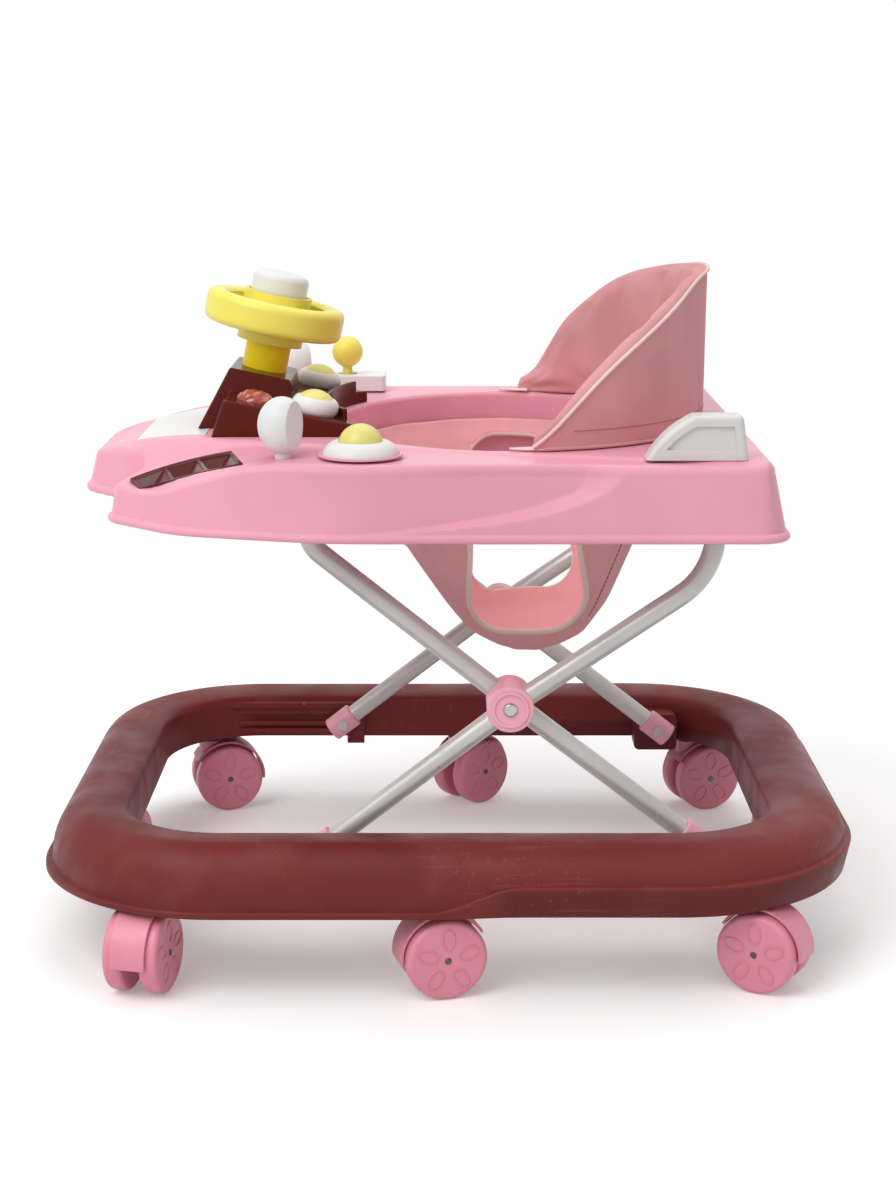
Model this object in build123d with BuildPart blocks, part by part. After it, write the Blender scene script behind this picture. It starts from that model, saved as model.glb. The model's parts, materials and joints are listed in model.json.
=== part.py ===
from build123d import *
import math
import os

os.makedirs("parts", exist_ok=True)

# Baby walker, in millimetres and degrees.
# Frame: +X to the rear, +Y to the child's right, +Z up, floor at z = 0, base centre at the origin.

# Base ring
base_length = 650
base_width = 530
base_corner_radius = 150
ring_width = 68
ring_wall = 3
ring_lip_z = 67.5
ring_inner_lip_z = 76
ring_crest_z = 118
ring_crest_inset = 36
ring_bead_height = 5
ring_inner_drop = 3

# Casters
wheel_radius = 31.5
wheel_thickness = 15
wheel_gap = 14
wheel_edge_round = 4
petal_count = 5
petal_length = 17
petal_width = 11
petal_line = 1.3
petal_relief = 0.7
petal_orbit = 17
axle_radius = 2.5
axle_proud = 0.8
caster_trail = 16
hood_gap = 1.3
hood_thickness = 2.2
hood_width = 28
hood_lead_angle = 149
hood_tail_angle = -6
hood_web = 8
hood_web_radius = 8
hood_rib = 5
stem_boss_radius = 10
stem_radius = 4.5
stem_length = 34
socket_wall = 5
socket_end_gap = 3
swivel_gap = 0.5
corner_caster_angle = 62
middle_caster_x = 10

# Running and seating clearances
running_fit = 0.05
seat_fit = 0.02
slide_fit = 0.3

# Folding frame
tube_radius = 8
tube_wall = 1.5
hub_x = 48
hub_z = 209
foot_corner_setback = 28
foot_z = 95
top_reach = 155
crossbar_z = 366
front_slope = 0.8
rear_slope = 0.68
leg_wall_gap = 19
leg_spacing = 19
hub_bend = 150
front_knee_bend = 24
rear_knee_bend = 58
top_bend = 20
foot_overhang = 10
cap_radius = 11
cap_length = 26
cap_end = 3
foot_pin_radius = 3
pin_head_radius = 4.5
pin_head_height = 2
pin_engage = 16
hub_radius = 18.3
hub_half_depth = 9.5
hub_ring_radius = 14.5
hub_ring_width = 2.5
hub_ring_relief = 1.2
rivet_radius = 3.5
rivet_head_radius = 5.5
rivet_head_height = 2.5
rivet_head_round = 2
fold_angle = 27

# Slide tracks and hinge brackets on the base
track_thickness = 7
track_height = 30
track_end = 10
track_spare = 38
track_web = 4
track_ledge = 5
lower_slot_drop = 9
lower_slot_height = 3.5
stop_length = 16
stop_drop = 24
bracket_length = 40
bracket_height = 34
bracket_drop = 8
bracket_gap = 1

# Tray
tray_rim_z = 350
deck_z = 408
tray_wall = 3.5
side_draft = 8
deck_round = 9
tray_half_width = 245
tray_rear_x = 252
tray_bends = [24, 200, 90, 28, 16, 8]
fender_bend_x = -90
fender_side_x = -205
fender_side_inset = 33
fender_tip_x = -266
fender_tip_inset = 92
fender_inner_x = -252
fender_inner_y = 112
front_edge_x = -238
front_edge_y = 95
fender_fall_x = -110
fender_fall_radius = 360
nose_rear_x = -105
nose_rear_y = 138
nose_side_x = -258
nose_side_y = 96
nose_tip_x = -294
nose_tip_y = 56
nose_rim_z = 357
nose_bends = [0, 45, 38]
nose_draft = 14
nose_fall_x = -170
nose_fall_radius = 370
opening_half_length = 141
opening_half_width = 172

# Tray fittings
bracket_y = 100
pivot_bracket_width = 22
pivot_bracket_length = 26
rack_y = 126
rack_thickness = 12
rack_wall = 4.5
rack_end = 8
strip_front_x = -244
strip_rear_x = -166
strip_inner_y = 150
strip_front_width = 26
strip_rear_width = 40
strip_slant = 0.36
strip_depth = 2
strip_proud = 0.6
inlay_fit = 0.15
panel_front_x = -250
panel_rear_x = -192
panel_front_y = 62
panel_rear_y = 88
panel_depth = 1.5
panel_proud = 0.4
fin_front_x = 145
fin_rear_x = 221
fin_top_front_x = 180
fin_top_rear_x = 216
fin_bulge_radius = 75
fin_height = 33
fin_y = 211
fin_thickness = 24
fin_round = 4

# Console
console_half_width = 105
tier_front_x = -186
tier_top_front_x = -176
tier_rear_x = -70
tier_front_height = 29
tier_rear_height = 9
lip_height = 20
lip_wall = 2.5
lip_half_width = 88
console_round = 2.5
console_setback = 6
block_length = 50
block_width = 84
block_draft = 16
lean = 12
steer_x = -152
steer_z = 450
cavity_length = 50
cavity_width = 84
cavity_height = 26
lens_x = -153
lens_y = 78
lens_half_length = 15
lens_height = 9
board_length = 44
board_width = 70
board_thickness = 1.6
speaker_radius = 18
speaker_height = 11

# Steering wheel, heights measured along its leaning axis from the top of the console
column_radius = 18.5
column_height = 22
column_pin_radius = 7
column_pin_length = 18
flange_radius = 27
flange_height = 10
rim_radius = 57
rim_width = 17
rim_height = 26
rim_round = 6.5
spoke_height = 18
spoke_drop = 2.5
spoke_count = 2
wheel_hub_radius = 28
gap_half_angle = 50
collar_wall = 3.5
collar_height = 5
horn_radius = 23
horn_height = 18
horn_round = 6
horn_stem_radius = 8
horn_stem_length = 9
horn_travel = 3
horn_gap = 0.5

# Console buttons
button_x = -106.5
button_y = 82
button_right_shift = -6
button_ring_foot = 16.5
button_ring_lip = 15.2
button_ring_bulge = 8.5
button_ring_height = 13
button_ring_floor = 4
button_rise = 5
button_radius = 13.5
button_crown = 6
button_stem_radius = 6
button_travel = 3

# Dome button on the left deck
dome_x = -65
dome_y = -197
dome_base_radius = 29
dome_base_height = 11
dome_base_top_radius = 20
dome_base_bulge = 13
dome_floor = 6
dome_radius = 16.5
dome_height = 13
dome_stem_radius = 6
dome_travel = 2.5

# Shifter on the right deck
shifter_x = -81
shifter_y = 196
shifter_length = 48
shifter_width = 36
shifter_height = 14
shifter_wall = 2.5
shifter_pivot_height = 6
lever_x = -92
lever_barrel_radius = 4.8
lever_pin_radius = 2
lever_width = 10
lever_stem_radius = 4.5
lever_length = 28
knob_radius = 14
lever_swing = 18
lever_slot_gap = 1

# Mirrors
mirror_x = -123
mirror_y = 196
mirror_right_shift = -16
mirror_radius = 18.5
mirror_half_height = 21.5
mirror_face = 10
mirror_stem_radius = 6
mirror_stem_height = 1
mirror_stem_depth = 8
mirror_turn = 20

# Seat
back_half_length = 164
back_half_width = 185
back_thickness = 18
back_side_x = 64
back_middle_x = 112
back_middle_share = 0.4375
back_side_top_x = 188
back_top_z = 536
back_edge_round = 7
sling_thickness = 5
sling_collar = 30
sling_bottom_z = 217
sling_rings = [(345, 55, 114, 142), (250, 66, 66, 88), (sling_bottom_z, 67, 40, 56)]
leg_hole_x = 62
leg_hole_z = 310
leg_hole_half_length = 50
leg_hole_half_height = 66


# Derived places
straight_x = base_length / 2 - base_corner_radius
straight_y = base_width / 2 - base_corner_radius
ring_inner_y = base_width / 2 - ring_width
foot_reach = straight_x - foot_corner_setback
outer_leg_y = ring_inner_y - leg_wall_gap
inner_leg_y = outer_leg_y - leg_spacing
back_middle_z = deck_z + back_middle_share * (back_top_z - deck_z)
front_foot = Vector(hub_x - foot_reach, 0, foot_z)
rear_foot = Vector(hub_x + foot_reach, 0, foot_z)
front_bar = Vector(hub_x - top_reach, 0, crossbar_z)
rear_bar = Vector(hub_x + top_reach, 0, crossbar_z)
deck_under_z = deck_z - tray_wall
mirror_places = {-1: mirror_x, 1: mirror_x + mirror_right_shift}
axle_z = wheel_radius
hood_inner_radius = wheel_radius + hood_gap
hood_outer_radius = hood_inner_radius + hood_thickness
twin_half_width = wheel_gap / 2 + wheel_thickness
tier_slope = math.degrees(math.atan2(tier_front_height - tier_rear_height, tier_rear_x - tier_top_front_x))


def spread_when_folded(reach, rise):
    """Distance between the two ends of a pair of arms at the lowest fold."""
    arm = math.hypot(reach, rise)
    angle = math.atan2(rise, reach) - math.radians(fold_angle)
    return 2 * arm * math.cos(angle)


track_reach = spread_when_folded(foot_reach, hub_z - foot_z)
rack_reach = spread_when_folded(top_reach, crossbar_z - hub_z)


def along_y(x, y, z):
    """Plane whose normal points along +Y, with its x along +X turned to keep +Z in view."""
    return Plane(origin=(x, y, z), x_dir=(-1, 0, 0), z_dir=(0, 1, 0))


def fall_height(x, start_x, radius):
    """Height of a top surface that is flat up to start_x and then falls on an arc."""
    run = max(start_x - x, 0)
    return deck_z - radius + math.sqrt(radius**2 - run**2)


# Caster positions: x, y and the direction from the stem towards the trailing axle
corner_orbit = base_corner_radius - ring_width / 2
corner_x = straight_x + corner_orbit * math.cos(math.radians(corner_caster_angle))
corner_y = straight_y + corner_orbit * math.sin(math.radians(corner_caster_angle))
end_x = (base_length - ring_width) / 2
side_y = (base_width - ring_width) / 2
caster_places = {
    "caster_front": (-end_x, 0, 80),
    "caster_front_left": (-corner_x, -corner_y, -104),
    "caster_middle_left": (middle_caster_x, -side_y, 195),
    "caster_rear_left": (corner_x, -corner_y, -30),
    "caster_rear": (end_x, 0, 90),
    "caster_rear_right": (corner_x, corner_y, 20),
    "caster_middle_right": (middle_caster_x, side_y, 42),
    "caster_front_right": (-corner_x, corner_y, 15),
}

# Base ring: a shell section carried along a quarter of the outline, then mirrored
socket_radius = stem_radius + socket_wall
socket_top_z = ring_crest_z - ring_wall / 2
socket_bore_z = ring_lip_z + stem_length + socket_end_gap


def ring_section(plane, inset):
    """Outline of the ring's section, or with an inset that of its hollow, x running inwards."""
    crest = (ring_crest_inset, ring_crest_z - inset)
    inner_top = (ring_width - inset, ring_crest_z - ring_inner_drop - inset)
    inner_lip = (ring_width - inset, ring_inner_lip_z - inset)
    outer_lip = (inset, ring_lip_z - inset)
    bead_top_z = ring_lip_z + ring_bead_height
    with BuildSketch(plane) as section:
        with BuildLine():
            Line(outer_lip, (inset, bead_top_z))
            EllipticalCenterArc(
                (ring_crest_inset, bead_top_z),
                ring_crest_inset - inset,
                ring_crest_z - bead_top_z - inset,
                start_angle=90,
                arc_size=90,
            )
            TangentArc(crest, inner_top, tangent=(1, 0))
            Polyline(inner_top, inner_lip, outer_lip)
        make_face()
    return section.sketch


side_plane = Plane(origin=(0, -base_width / 2, 0), x_dir=(0, 1, 0), z_dir=(1, 0, 0))
end_plane = Plane(origin=(base_length / 2, -straight_y, 0), x_dir=(-1, 0, 0), z_dir=(0, 1, 0))
corner_axis = Axis((straight_x, -straight_y, 0), (0, 0, 1))


def ring_form(inset):
    """Solid ring, or with an inset the hollow below its walls."""
    with BuildPart() as form:
        extrude(ring_section(side_plane, inset), amount=straight_x)
        revolve(ring_section(side_plane.offset(straight_x), inset), axis=corner_axis, revolution_arc=90)
        extrude(ring_section(end_plane, inset), amount=straight_y)
        mirror(about=Plane.YZ)
        mirror(about=Plane.XZ)
    return form


ring_solid = ring_form(0)
ring_hollow = ring_form(ring_wall)
with BuildPart() as base_ring:
    add(ring_solid.part)
    add(ring_hollow.part, mode=Mode.SUBTRACT)
    with BuildSketch(Plane.XY.offset(ring_lip_z)):
        with Locations([(x, y) for x, y, heading in caster_places.values()]):
            Circle(socket_radius)
    extrude(amount=socket_top_z - ring_lip_z)
    with BuildSketch(Plane.XY.offset(ring_lip_z)):
        with Locations([(x, y) for x, y, heading in caster_places.values()]):
            Circle(stem_radius + running_fit)
    extrude(amount=socket_bore_z - ring_lip_z, mode=Mode.SUBTRACT)

# Slide tracks on the inner side walls
slot_height = 2 * (foot_pin_radius + slide_fit)
slot_rear_x = front_foot.X + foot_pin_radius + slide_fit
slot_front_x = rear_foot.X - track_reach - foot_pin_radius - slide_fit - track_spare
slot_length = slot_rear_x - slot_front_x
track_length = slot_length + 2 * track_end
track_x = (slot_rear_x + slot_front_x) / 2
track_front_y = ring_inner_y - track_thickness
with BuildPart() as foot_tracks:
    with BuildSketch(along_y(track_x, ring_inner_y - track_web, foot_z)):
        RectangleRounded(track_length, track_height, track_end / 2)
        SlotOverall(slot_length, slot_height, mode=Mode.SUBTRACT)
        with Locations((0, -lower_slot_drop)):
            SlotOverall(slot_length, lower_slot_height, mode=Mode.SUBTRACT)
    extrude(amount=track_web)
    # Ledge along the top, and a stop block that hangs below the rear end
    with BuildSketch(along_y(track_x, track_front_y, foot_z + track_height / 2)):
        Rectangle(track_length - track_end, track_ledge, align=(Align.CENTER, Align.MAX))
    extrude(amount=track_thickness)
    with BuildSketch(along_y(slot_rear_x + slide_fit, track_front_y, foot_z - stop_drop)):
        Rectangle(stop_length, stop_drop + track_height / 2, align=(Align.MAX, Align.MIN))
    extrude(amount=track_thickness)
    mirror(about=Plane.XZ)
    add(ring_solid.part, mode=Mode.SUBTRACT)

# Hinge brackets for the rear feet
bracket_front_y = inner_leg_y + cap_radius + bracket_gap
with BuildPart() as hinge_brackets:
    with BuildSketch(along_y(rear_foot.X, bracket_front_y, foot_z)):
        with Locations((0, -bracket_drop)):
            RectangleRounded(bracket_length, bracket_height, track_end / 2)
        Circle(foot_pin_radius + running_fit, mode=Mode.SUBTRACT)
    extrude(amount=ring_inner_y - bracket_front_y)
    mirror(about=Plane.XZ)
    add(ring_solid.part, mode=Mode.SUBTRACT)

# Caster masters: stem axis at the origin, axle trailing along +X, axle axis along Y
wheel_side = Plane(origin=(caster_trail, 0, axle_z), x_dir=(1, 0, 0), z_dir=(0, -1, 0))
boss_top_z = ring_lip_z - swivel_gap
with BuildPart() as hood_master:
    with BuildSketch(wheel_side):
        with BuildLine():
            outer = CenterArc((0, 0), hood_outer_radius, hood_tail_angle, hood_lead_angle - hood_tail_angle)
            inner = CenterArc((0, 0), hood_inner_radius, hood_tail_angle, hood_lead_angle - hood_tail_angle)
            Line(outer @ 0, inner @ 0)
            Line(outer @ 1, inner @ 1)
        make_face()
    extrude(amount=hood_width / 2, both=True)
    # Round apron seen from the trailing side
    with BuildSketch(Plane(origin=(0, 0, axle_z), x_dir=(0, 1, 0), z_dir=(1, 0, 0))):
        Circle(hood_width / 2)
        Rectangle(hood_width, hood_outer_radius, align=(Align.CENTER, Align.MIN))
    extrude(amount=2 * hood_outer_radius, both=True, mode=Mode.INTERSECT)
    with BuildSketch(Plane.XY.offset(axle_z)):
        Circle(stem_boss_radius)
        with Locations((caster_trail / 2, 0)):
            Rectangle(caster_trail + hood_outer_radius / 2, hood_rib)
    extrude(amount=boss_top_z - axle_z)
    with BuildSketch(wheel_side):
        Circle(hood_inner_radius)
    extrude(amount=twin_half_width, both=True, mode=Mode.SUBTRACT)
    with BuildSketch(wheel_side):
        Circle(hood_web_radius)
        Rectangle(2 * hood_web_radius, hood_inner_radius + hood_thickness / 2, align=(Align.CENTER, Align.MIN))
    extrude(amount=hood_web / 2, both=True)
    with BuildSketch(wheel_side):
        Circle(axle_radius + running_fit)
    extrude(amount=hood_web, both=True, mode=Mode.SUBTRACT)
    with BuildSketch(Plane.XY.offset(boss_top_z)):
        Circle(stem_radius)
    extrude(amount=stem_length)

with BuildPart() as wheel_master:
    with BuildSketch(wheel_side.offset(wheel_gap / 2)):
        Circle(wheel_radius)
        Circle(axle_radius + seat_fit, mode=Mode.SUBTRACT)
    extrude(amount=wheel_thickness)
    fillet(wheel_master.edges().filter_by(GeomType.CIRCLE).group_by(SortBy.RADIUS)[-1], wheel_edge_round)
    with BuildSketch(wheel_side.offset(twin_half_width)):
        with PolarLocations(petal_orbit, petal_count, start_angle=90):
            Ellipse(petal_length / 2, petal_width / 2)
            Ellipse(petal_length / 2 - petal_line, petal_width / 2 - petal_line, mode=Mode.SUBTRACT)
    extrude(amount=petal_relief)
    mirror(about=Plane.XZ)

with BuildPart() as axle_master:
    with BuildSketch(wheel_side):
        Circle(axle_radius)
    extrude(amount=twin_half_width + axle_proud, both=True)
    chamfer(axle_master.edges().filter_by(GeomType.CIRCLE), axle_proud / 2)


def placed(master, plane):
    """Copy of a master piece, carried to a plane."""
    with BuildPart() as copy:
        with Locations(plane.location):
            add(master.part)
    return copy


casters = {}
for caster_name, (x, y, heading) in caster_places.items():
    turn = math.radians(heading)
    spot = Plane(origin=(x, y, 0), x_dir=(math.cos(turn), math.sin(turn), 0), z_dir=(0, 0, 1))
    casters[f"{caster_name}_hood"] = placed(hood_master, spot)
    casters[f"{caster_name}_wheels"] = placed(wheel_master, spot)
    casters[f"{caster_name}_axle"] = placed(axle_master, spot)


def leg_route(foot_side, leg_y, upper_slope):
    """Corners of a U-shaped leg, from the right foot over the crossbar to the left foot."""
    foot = Vector(hub_x + foot_side * foot_reach, leg_y, foot_z)
    hub = Vector(hub_x, leg_y, hub_z)
    knee = Vector(hub_x - foot_side * top_reach, leg_y, hub_z + upper_slope * top_reach)
    top = Vector(knee.X, leg_y, crossbar_z)
    end = foot + (foot - hub).normalized() * foot_overhang
    right = [end, hub, knee, top]
    left = [Vector(p.X, -p.Y, p.Z) for p in reversed(right)]
    return right + left


def leg_bends(knee_bend):
    """Bend radii at the corners of a leg, in the order of its route."""
    return [hub_bend, knee_bend, top_bend, top_bend, knee_bend, hub_bend]


def leg_tube(route, knee_bend, pin_place):
    """Bent steel tube with its pivot holes at the feet and at the hubs."""
    with BuildPart() as tube:
        with BuildLine() as path:
            FilletPolyline(*route, radius=leg_bends(knee_bend))
        with BuildSketch(Plane(origin=path.line @ 0, z_dir=path.line % 0)):
            Circle(tube_radius)
            Circle(tube_radius - tube_wall, mode=Mode.SUBTRACT)
        sweep(path=path.line)
        with BuildSketch(along_y(pin_place.X, 0, foot_z)):
            Circle(foot_pin_radius + seat_fit)
        extrude(amount=base_width / 2, both=True, mode=Mode.SUBTRACT)
        with BuildSketch(along_y(hub_x, 0, hub_z)):
            Circle(rivet_radius + running_fit)
        extrude(amount=base_width / 2, both=True, mode=Mode.SUBTRACT)
    return tube


def leg_feet(route, pin_place):
    """Plastic caps on both feet of a leg, with the hole for the pin."""
    arm = (route[1] - route[0]).normalized()
    with BuildPart() as caps:
        with BuildSketch(Plane(origin=route[0] - arm * cap_end, z_dir=arm)):
            Circle(cap_radius)
        extrude(amount=cap_length)
        fillet(caps.edges().filter_by(GeomType.CIRCLE), cap_end / 2)
        with BuildSketch(Plane(origin=route[0], z_dir=arm)):
            Circle(tube_radius + seat_fit)
        extrude(amount=cap_length, mode=Mode.SUBTRACT)
        with BuildSketch(along_y(pin_place.X, 0, foot_z)):
            Circle(foot_pin_radius + seat_fit)
        extrude(amount=base_width / 2, mode=Mode.SUBTRACT)
        mirror(about=Plane.XZ)
    return caps


def foot_pins(pin_place, leg_y, pin_end_y):
    """Pins through both feet, with a head on the inner side of the cap."""
    head_y = leg_y - cap_radius
    with BuildPart() as pins:
        with BuildSketch(along_y(pin_place.X, head_y, foot_z)):
            Circle(foot_pin_radius)
        extrude(amount=pin_end_y - head_y)
        with BuildSketch(along_y(pin_place.X, head_y, foot_z)):
            Circle(pin_head_radius)
        extrude(amount=-pin_head_height)
        mirror(about=Plane.XZ)
    return pins


def leg_hubs(route, knee_bend, leg_y, ring_side, bore):
    """Plastic discs round both arms of a leg at the crossing, with a raised ring on one face."""
    with BuildPart() as hubs:
        with BuildSketch(along_y(hub_x, leg_y, hub_z)):
            Circle(hub_radius)
        extrude(amount=hub_half_depth, both=True)
        fillet(hubs.edges().filter_by(GeomType.CIRCLE), hub_ring_relief)
        with BuildSketch(along_y(hub_x, leg_y + ring_side * hub_half_depth, hub_z)):
            Circle(hub_ring_radius)
            Circle(hub_ring_radius - hub_ring_width, mode=Mode.SUBTRACT)
        extrude(amount=ring_side * hub_ring_relief)
        mirror(about=Plane.XZ)
        with BuildLine() as path:
            FilletPolyline(*route, radius=leg_bends(knee_bend))
        with BuildSketch(Plane(origin=path.line @ 0, z_dir=path.line % 0)):
            Circle(tube_radius + seat_fit)
        sweep(path=path.line, mode=Mode.SUBTRACT)
        with BuildSketch(along_y(hub_x, 0, hub_z)):
            Circle(bore)
        extrude(amount=base_width / 2, both=True, mode=Mode.SUBTRACT)
    return hubs


inner_route = leg_route(1, inner_leg_y, front_slope)
outer_route = leg_route(-1, outer_leg_y, rear_slope)
inner_leg_tube = leg_tube(inner_route, front_knee_bend, rear_foot)
outer_leg_tube = leg_tube(outer_route, rear_knee_bend, front_foot)
inner_leg_feet = leg_feet(inner_route, rear_foot)
outer_leg_feet = leg_feet(outer_route, front_foot)
inner_foot_pins = foot_pins(rear_foot, inner_leg_y, bracket_front_y + pin_engage)
outer_foot_pins = foot_pins(front_foot, outer_leg_y, ring_inner_y - bracket_gap)
inner_hubs = leg_hubs(inner_route, front_knee_bend, inner_leg_y, -1, rivet_radius + seat_fit)
outer_hubs = leg_hubs(outer_route, rear_knee_bend, outer_leg_y, 1, rivet_radius + running_fit)

rivet_inner_y = inner_leg_y - hub_half_depth
rivet_outer_y = outer_leg_y + hub_half_depth + running_fit
with BuildPart() as hub_rivets:
    with BuildSketch(along_y(hub_x, rivet_inner_y, hub_z)):
        Circle(rivet_radius)
    extrude(amount=rivet_outer_y - rivet_inner_y)
    for head_y, side in ((rivet_inner_y, -1), (rivet_outer_y, 1)):
        with BuildSketch(along_y(hub_x, head_y, hub_z)):
            Circle(rivet_head_radius)
        extrude(amount=side * rivet_head_height)
    head_rims = hub_rivets.edges().filter_by(GeomType.CIRCLE)
    fillet([head_rims.sort_by(Axis.Y)[0], head_rims.sort_by(Axis.Y)[-1]], rivet_head_round)
    mirror(about=Plane.XZ)


def fall_cut(start_x, radius, inset):
    """Removes what stands above a top surface that falls on an arc towards the front."""
    with BuildSketch(Plane.XZ) as above:
        with Locations((start_x, tray_rim_z)):
            Rectangle(-nose_tip_x, deck_z - tray_rim_z + deck_round, align=(Align.MAX, Align.MIN))
        with Locations((start_x, deck_z - radius)):
            Circle(radius - inset, mode=Mode.SUBTRACT)
    extrude(above.sketch, amount=2 * tray_half_width, both=True, mode=Mode.SUBTRACT)


def top_edges(part, start_x, radius, inset, rear_x):
    """Edges along the top of a falling form, without those on its rear end."""
    return part.edges().filter_by(
        lambda e: abs(e.center().Z - fall_height(e.center().X, start_x, radius) + inset) < deck_round / 2
        and e.center().X < rear_x
    )


def tray_form(inset):
    """Outside of the tray, or with an inset the hollow below its walls."""
    with BuildPart() as body:
        with BuildSketch(Plane.XY.offset(tray_rim_z)):
            with BuildLine():
                FilletPolyline(
                    (tray_rear_x, 0),
                    (tray_rear_x, tray_half_width),
                    (fender_bend_x, tray_half_width),
                    (fender_side_x, tray_half_width - fender_side_inset),
                    (fender_tip_x, tray_half_width - fender_tip_inset),
                    (fender_inner_x, fender_inner_y),
                    (front_edge_x, front_edge_y),
                    (front_edge_x, 0),
                    radius=tray_bends,
                )
                mirror(about=Plane.XZ)
            make_face()
            if inset:
                offset(amount=-inset)
        extrude(amount=deck_z - tray_rim_z - inset, taper=side_draft)
        fall_cut(fender_fall_x, fender_fall_radius, inset)
        fillet(top_edges(body, fender_fall_x, fender_fall_radius, inset, tray_rear_x), deck_round - inset)
    with BuildPart() as nose:
        with BuildSketch(Plane.XY.offset(nose_rim_z)):
            with BuildLine():
                FilletPolyline(
                    (nose_rear_x, 0),
                    (nose_rear_x, nose_rear_y),
                    (nose_side_x, nose_side_y),
                    (nose_tip_x, nose_tip_y),
                    (nose_tip_x, 0),
                    radius=nose_bends,
                )
                mirror(about=Plane.XZ)
            make_face()
            if inset:
                offset(amount=-inset)
        extrude(amount=deck_z - nose_rim_z - inset, taper=nose_draft)
        fall_cut(nose_fall_x, nose_fall_radius, inset)
        rear_limit = nose_rear_x - nose_rear_y / 4
        fillet(top_edges(nose, nose_fall_x, nose_fall_radius, inset, rear_limit), deck_round - inset)
    with BuildPart() as form:
        add(body.part)
        add(nose.part)
    return form


def inlay_form(outline, start_x, radius, depth, proud, margin):
    """Inlays that follow a falling top on both sides, or with a margin their pockets."""
    with BuildPart() as form:
        with BuildSketch(Plane.XZ) as band:
            with Locations((start_x, deck_z - radius)):
                Circle(radius + proud)
                Circle(radius - depth, mode=Mode.SUBTRACT)
        extrude(band.sketch, amount=tray_half_width, both=True)
        with BuildSketch(Plane.XY.offset(tray_rim_z)) as plan:
            with BuildLine():
                Polyline(*outline, close=True)
            make_face()
            offset(amount=margin, kind=Kind.INTERSECTION)
        extrude(plan.sketch, amount=2 * (deck_z - tray_rim_z), mode=Mode.INTERSECT)
        mirror(about=Plane.XZ)
    return form


strip_outline = [
    (strip_front_x, strip_inner_y),
    (strip_rear_x, strip_inner_y),
    (strip_rear_x + strip_slant * strip_rear_width, strip_inner_y + strip_rear_width),
    (strip_front_x + strip_slant * strip_front_width, strip_inner_y + strip_front_width),
]
panel_outline = [(panel_front_x, 0), (panel_rear_x, 0), (panel_rear_x, panel_rear_y), (panel_front_x, panel_front_y)]
strip_values = (strip_outline, fender_fall_x, fender_fall_radius, strip_depth)
panel_values = (panel_outline, nose_fall_x, nose_fall_radius, panel_depth)
tray_outside = tray_form(0)
tray_hollow = tray_form(tray_wall)
strip_pockets = inlay_form(*strip_values, deck_round, inlay_fit)
panel_pocket = inlay_form(*panel_values, deck_round, inlay_fit)
with BuildPart() as tray_shell:
    add(tray_outside.part)
    add(tray_hollow.part, mode=Mode.SUBTRACT)
    with BuildSketch(Plane.XY.offset(tray_rim_z)):
        with Locations((hub_x, 0)):
            Ellipse(opening_half_length + tray_wall, opening_half_width + tray_wall)
    extrude(amount=deck_z - tray_rim_z)
    with BuildSketch(Plane.XY.offset(tray_rim_z)):
        with Locations((hub_x, 0)):
            Ellipse(opening_half_length, opening_half_width)
    extrude(amount=deck_z - tray_rim_z, mode=Mode.SUBTRACT)
    add(strip_pockets.part, mode=Mode.SUBTRACT)
    add(panel_pocket.part, mode=Mode.SUBTRACT)
    with BuildSketch(Plane.XY.offset(deck_z)):
        with Locations([(x, side * mirror_y) for side, x in mirror_places.items()]):
            Circle(mirror_stem_radius + running_fit)
    extrude(amount=-2 * tray_wall, mode=Mode.SUBTRACT)

headlight_strips = inlay_form(*strip_values, strip_proud, 0)
hood_panel = inlay_form(*panel_values, panel_proud, 0)

# Fins on the rear deck, each with a recessed panel on its outer face
with BuildPart() as tail_fins:
    with BuildSketch(Plane.XZ.offset(fin_thickness / 2 - fin_y)) as fin_side:
        with BuildLine():
            RadiusArc((fin_front_x, deck_z), (fin_top_front_x, deck_z + fin_height), fin_bulge_radius)
            Polyline(
                (fin_top_front_x, deck_z + fin_height),
                (fin_top_rear_x, deck_z + fin_height),
                (fin_rear_x, deck_z),
                (fin_front_x, deck_z),
            )
        make_face()
    extrude(amount=-fin_thickness)
    fillet(tail_fins.edges().group_by(Axis.Z)[1:], fin_round)
    with BuildSketch(Plane.XZ.offset(-fin_y - fin_thickness / 2)):
        add(fin_side.sketch_local)
        offset(amount=-2 * fin_round)
    extrude(amount=fin_round / 2, mode=Mode.SUBTRACT)
    mirror(about=Plane.XZ)

# Blocks under the rear deck that turn on the rear crossbar
with BuildPart() as pivot_brackets:
    with BuildSketch(along_y(rear_bar.X, bracket_y, crossbar_z)):
        with Locations((0, -tube_radius - rack_wall)):
            Rectangle(
                pivot_bracket_length,
                deck_under_z - crossbar_z + tube_radius + rack_wall,
                align=(Align.CENTER, Align.MIN),
            )
        Circle(tube_radius + running_fit, mode=Mode.SUBTRACT)
    extrude(amount=pivot_bracket_width / 2, both=True)
    mirror(about=Plane.XZ)

# Slotted rails under the front deck, in which the front crossbar slides
rack_slot_rear_x = front_bar.X + tube_radius + slide_fit
rack_slot_front_x = rear_bar.X - rack_reach - tube_radius - slide_fit
rack_length = rack_slot_rear_x - rack_slot_front_x + 2 * rack_end
rack_height = 2 * (tube_radius + slide_fit + rack_wall)
rack_x = (rack_slot_rear_x + rack_slot_front_x) / 2
hanger_length = rack_slot_rear_x + rack_end - fender_fall_x
with BuildPart() as height_racks:
    with BuildSketch(along_y(rack_x, rack_y, crossbar_z)):
        RectangleRounded(rack_length, rack_height, rack_end / 2)
        with Locations((-rack_length / 2, 0)):
            Rectangle(hanger_length, deck_under_z - crossbar_z, align=(Align.MIN, Align.MIN))
        SlotOverall(rack_slot_rear_x - rack_slot_front_x, 2 * (tube_radius + slide_fit), mode=Mode.SUBTRACT)
    extrude(amount=rack_thickness / 2, both=True)
    mirror(about=Plane.XZ)

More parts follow.
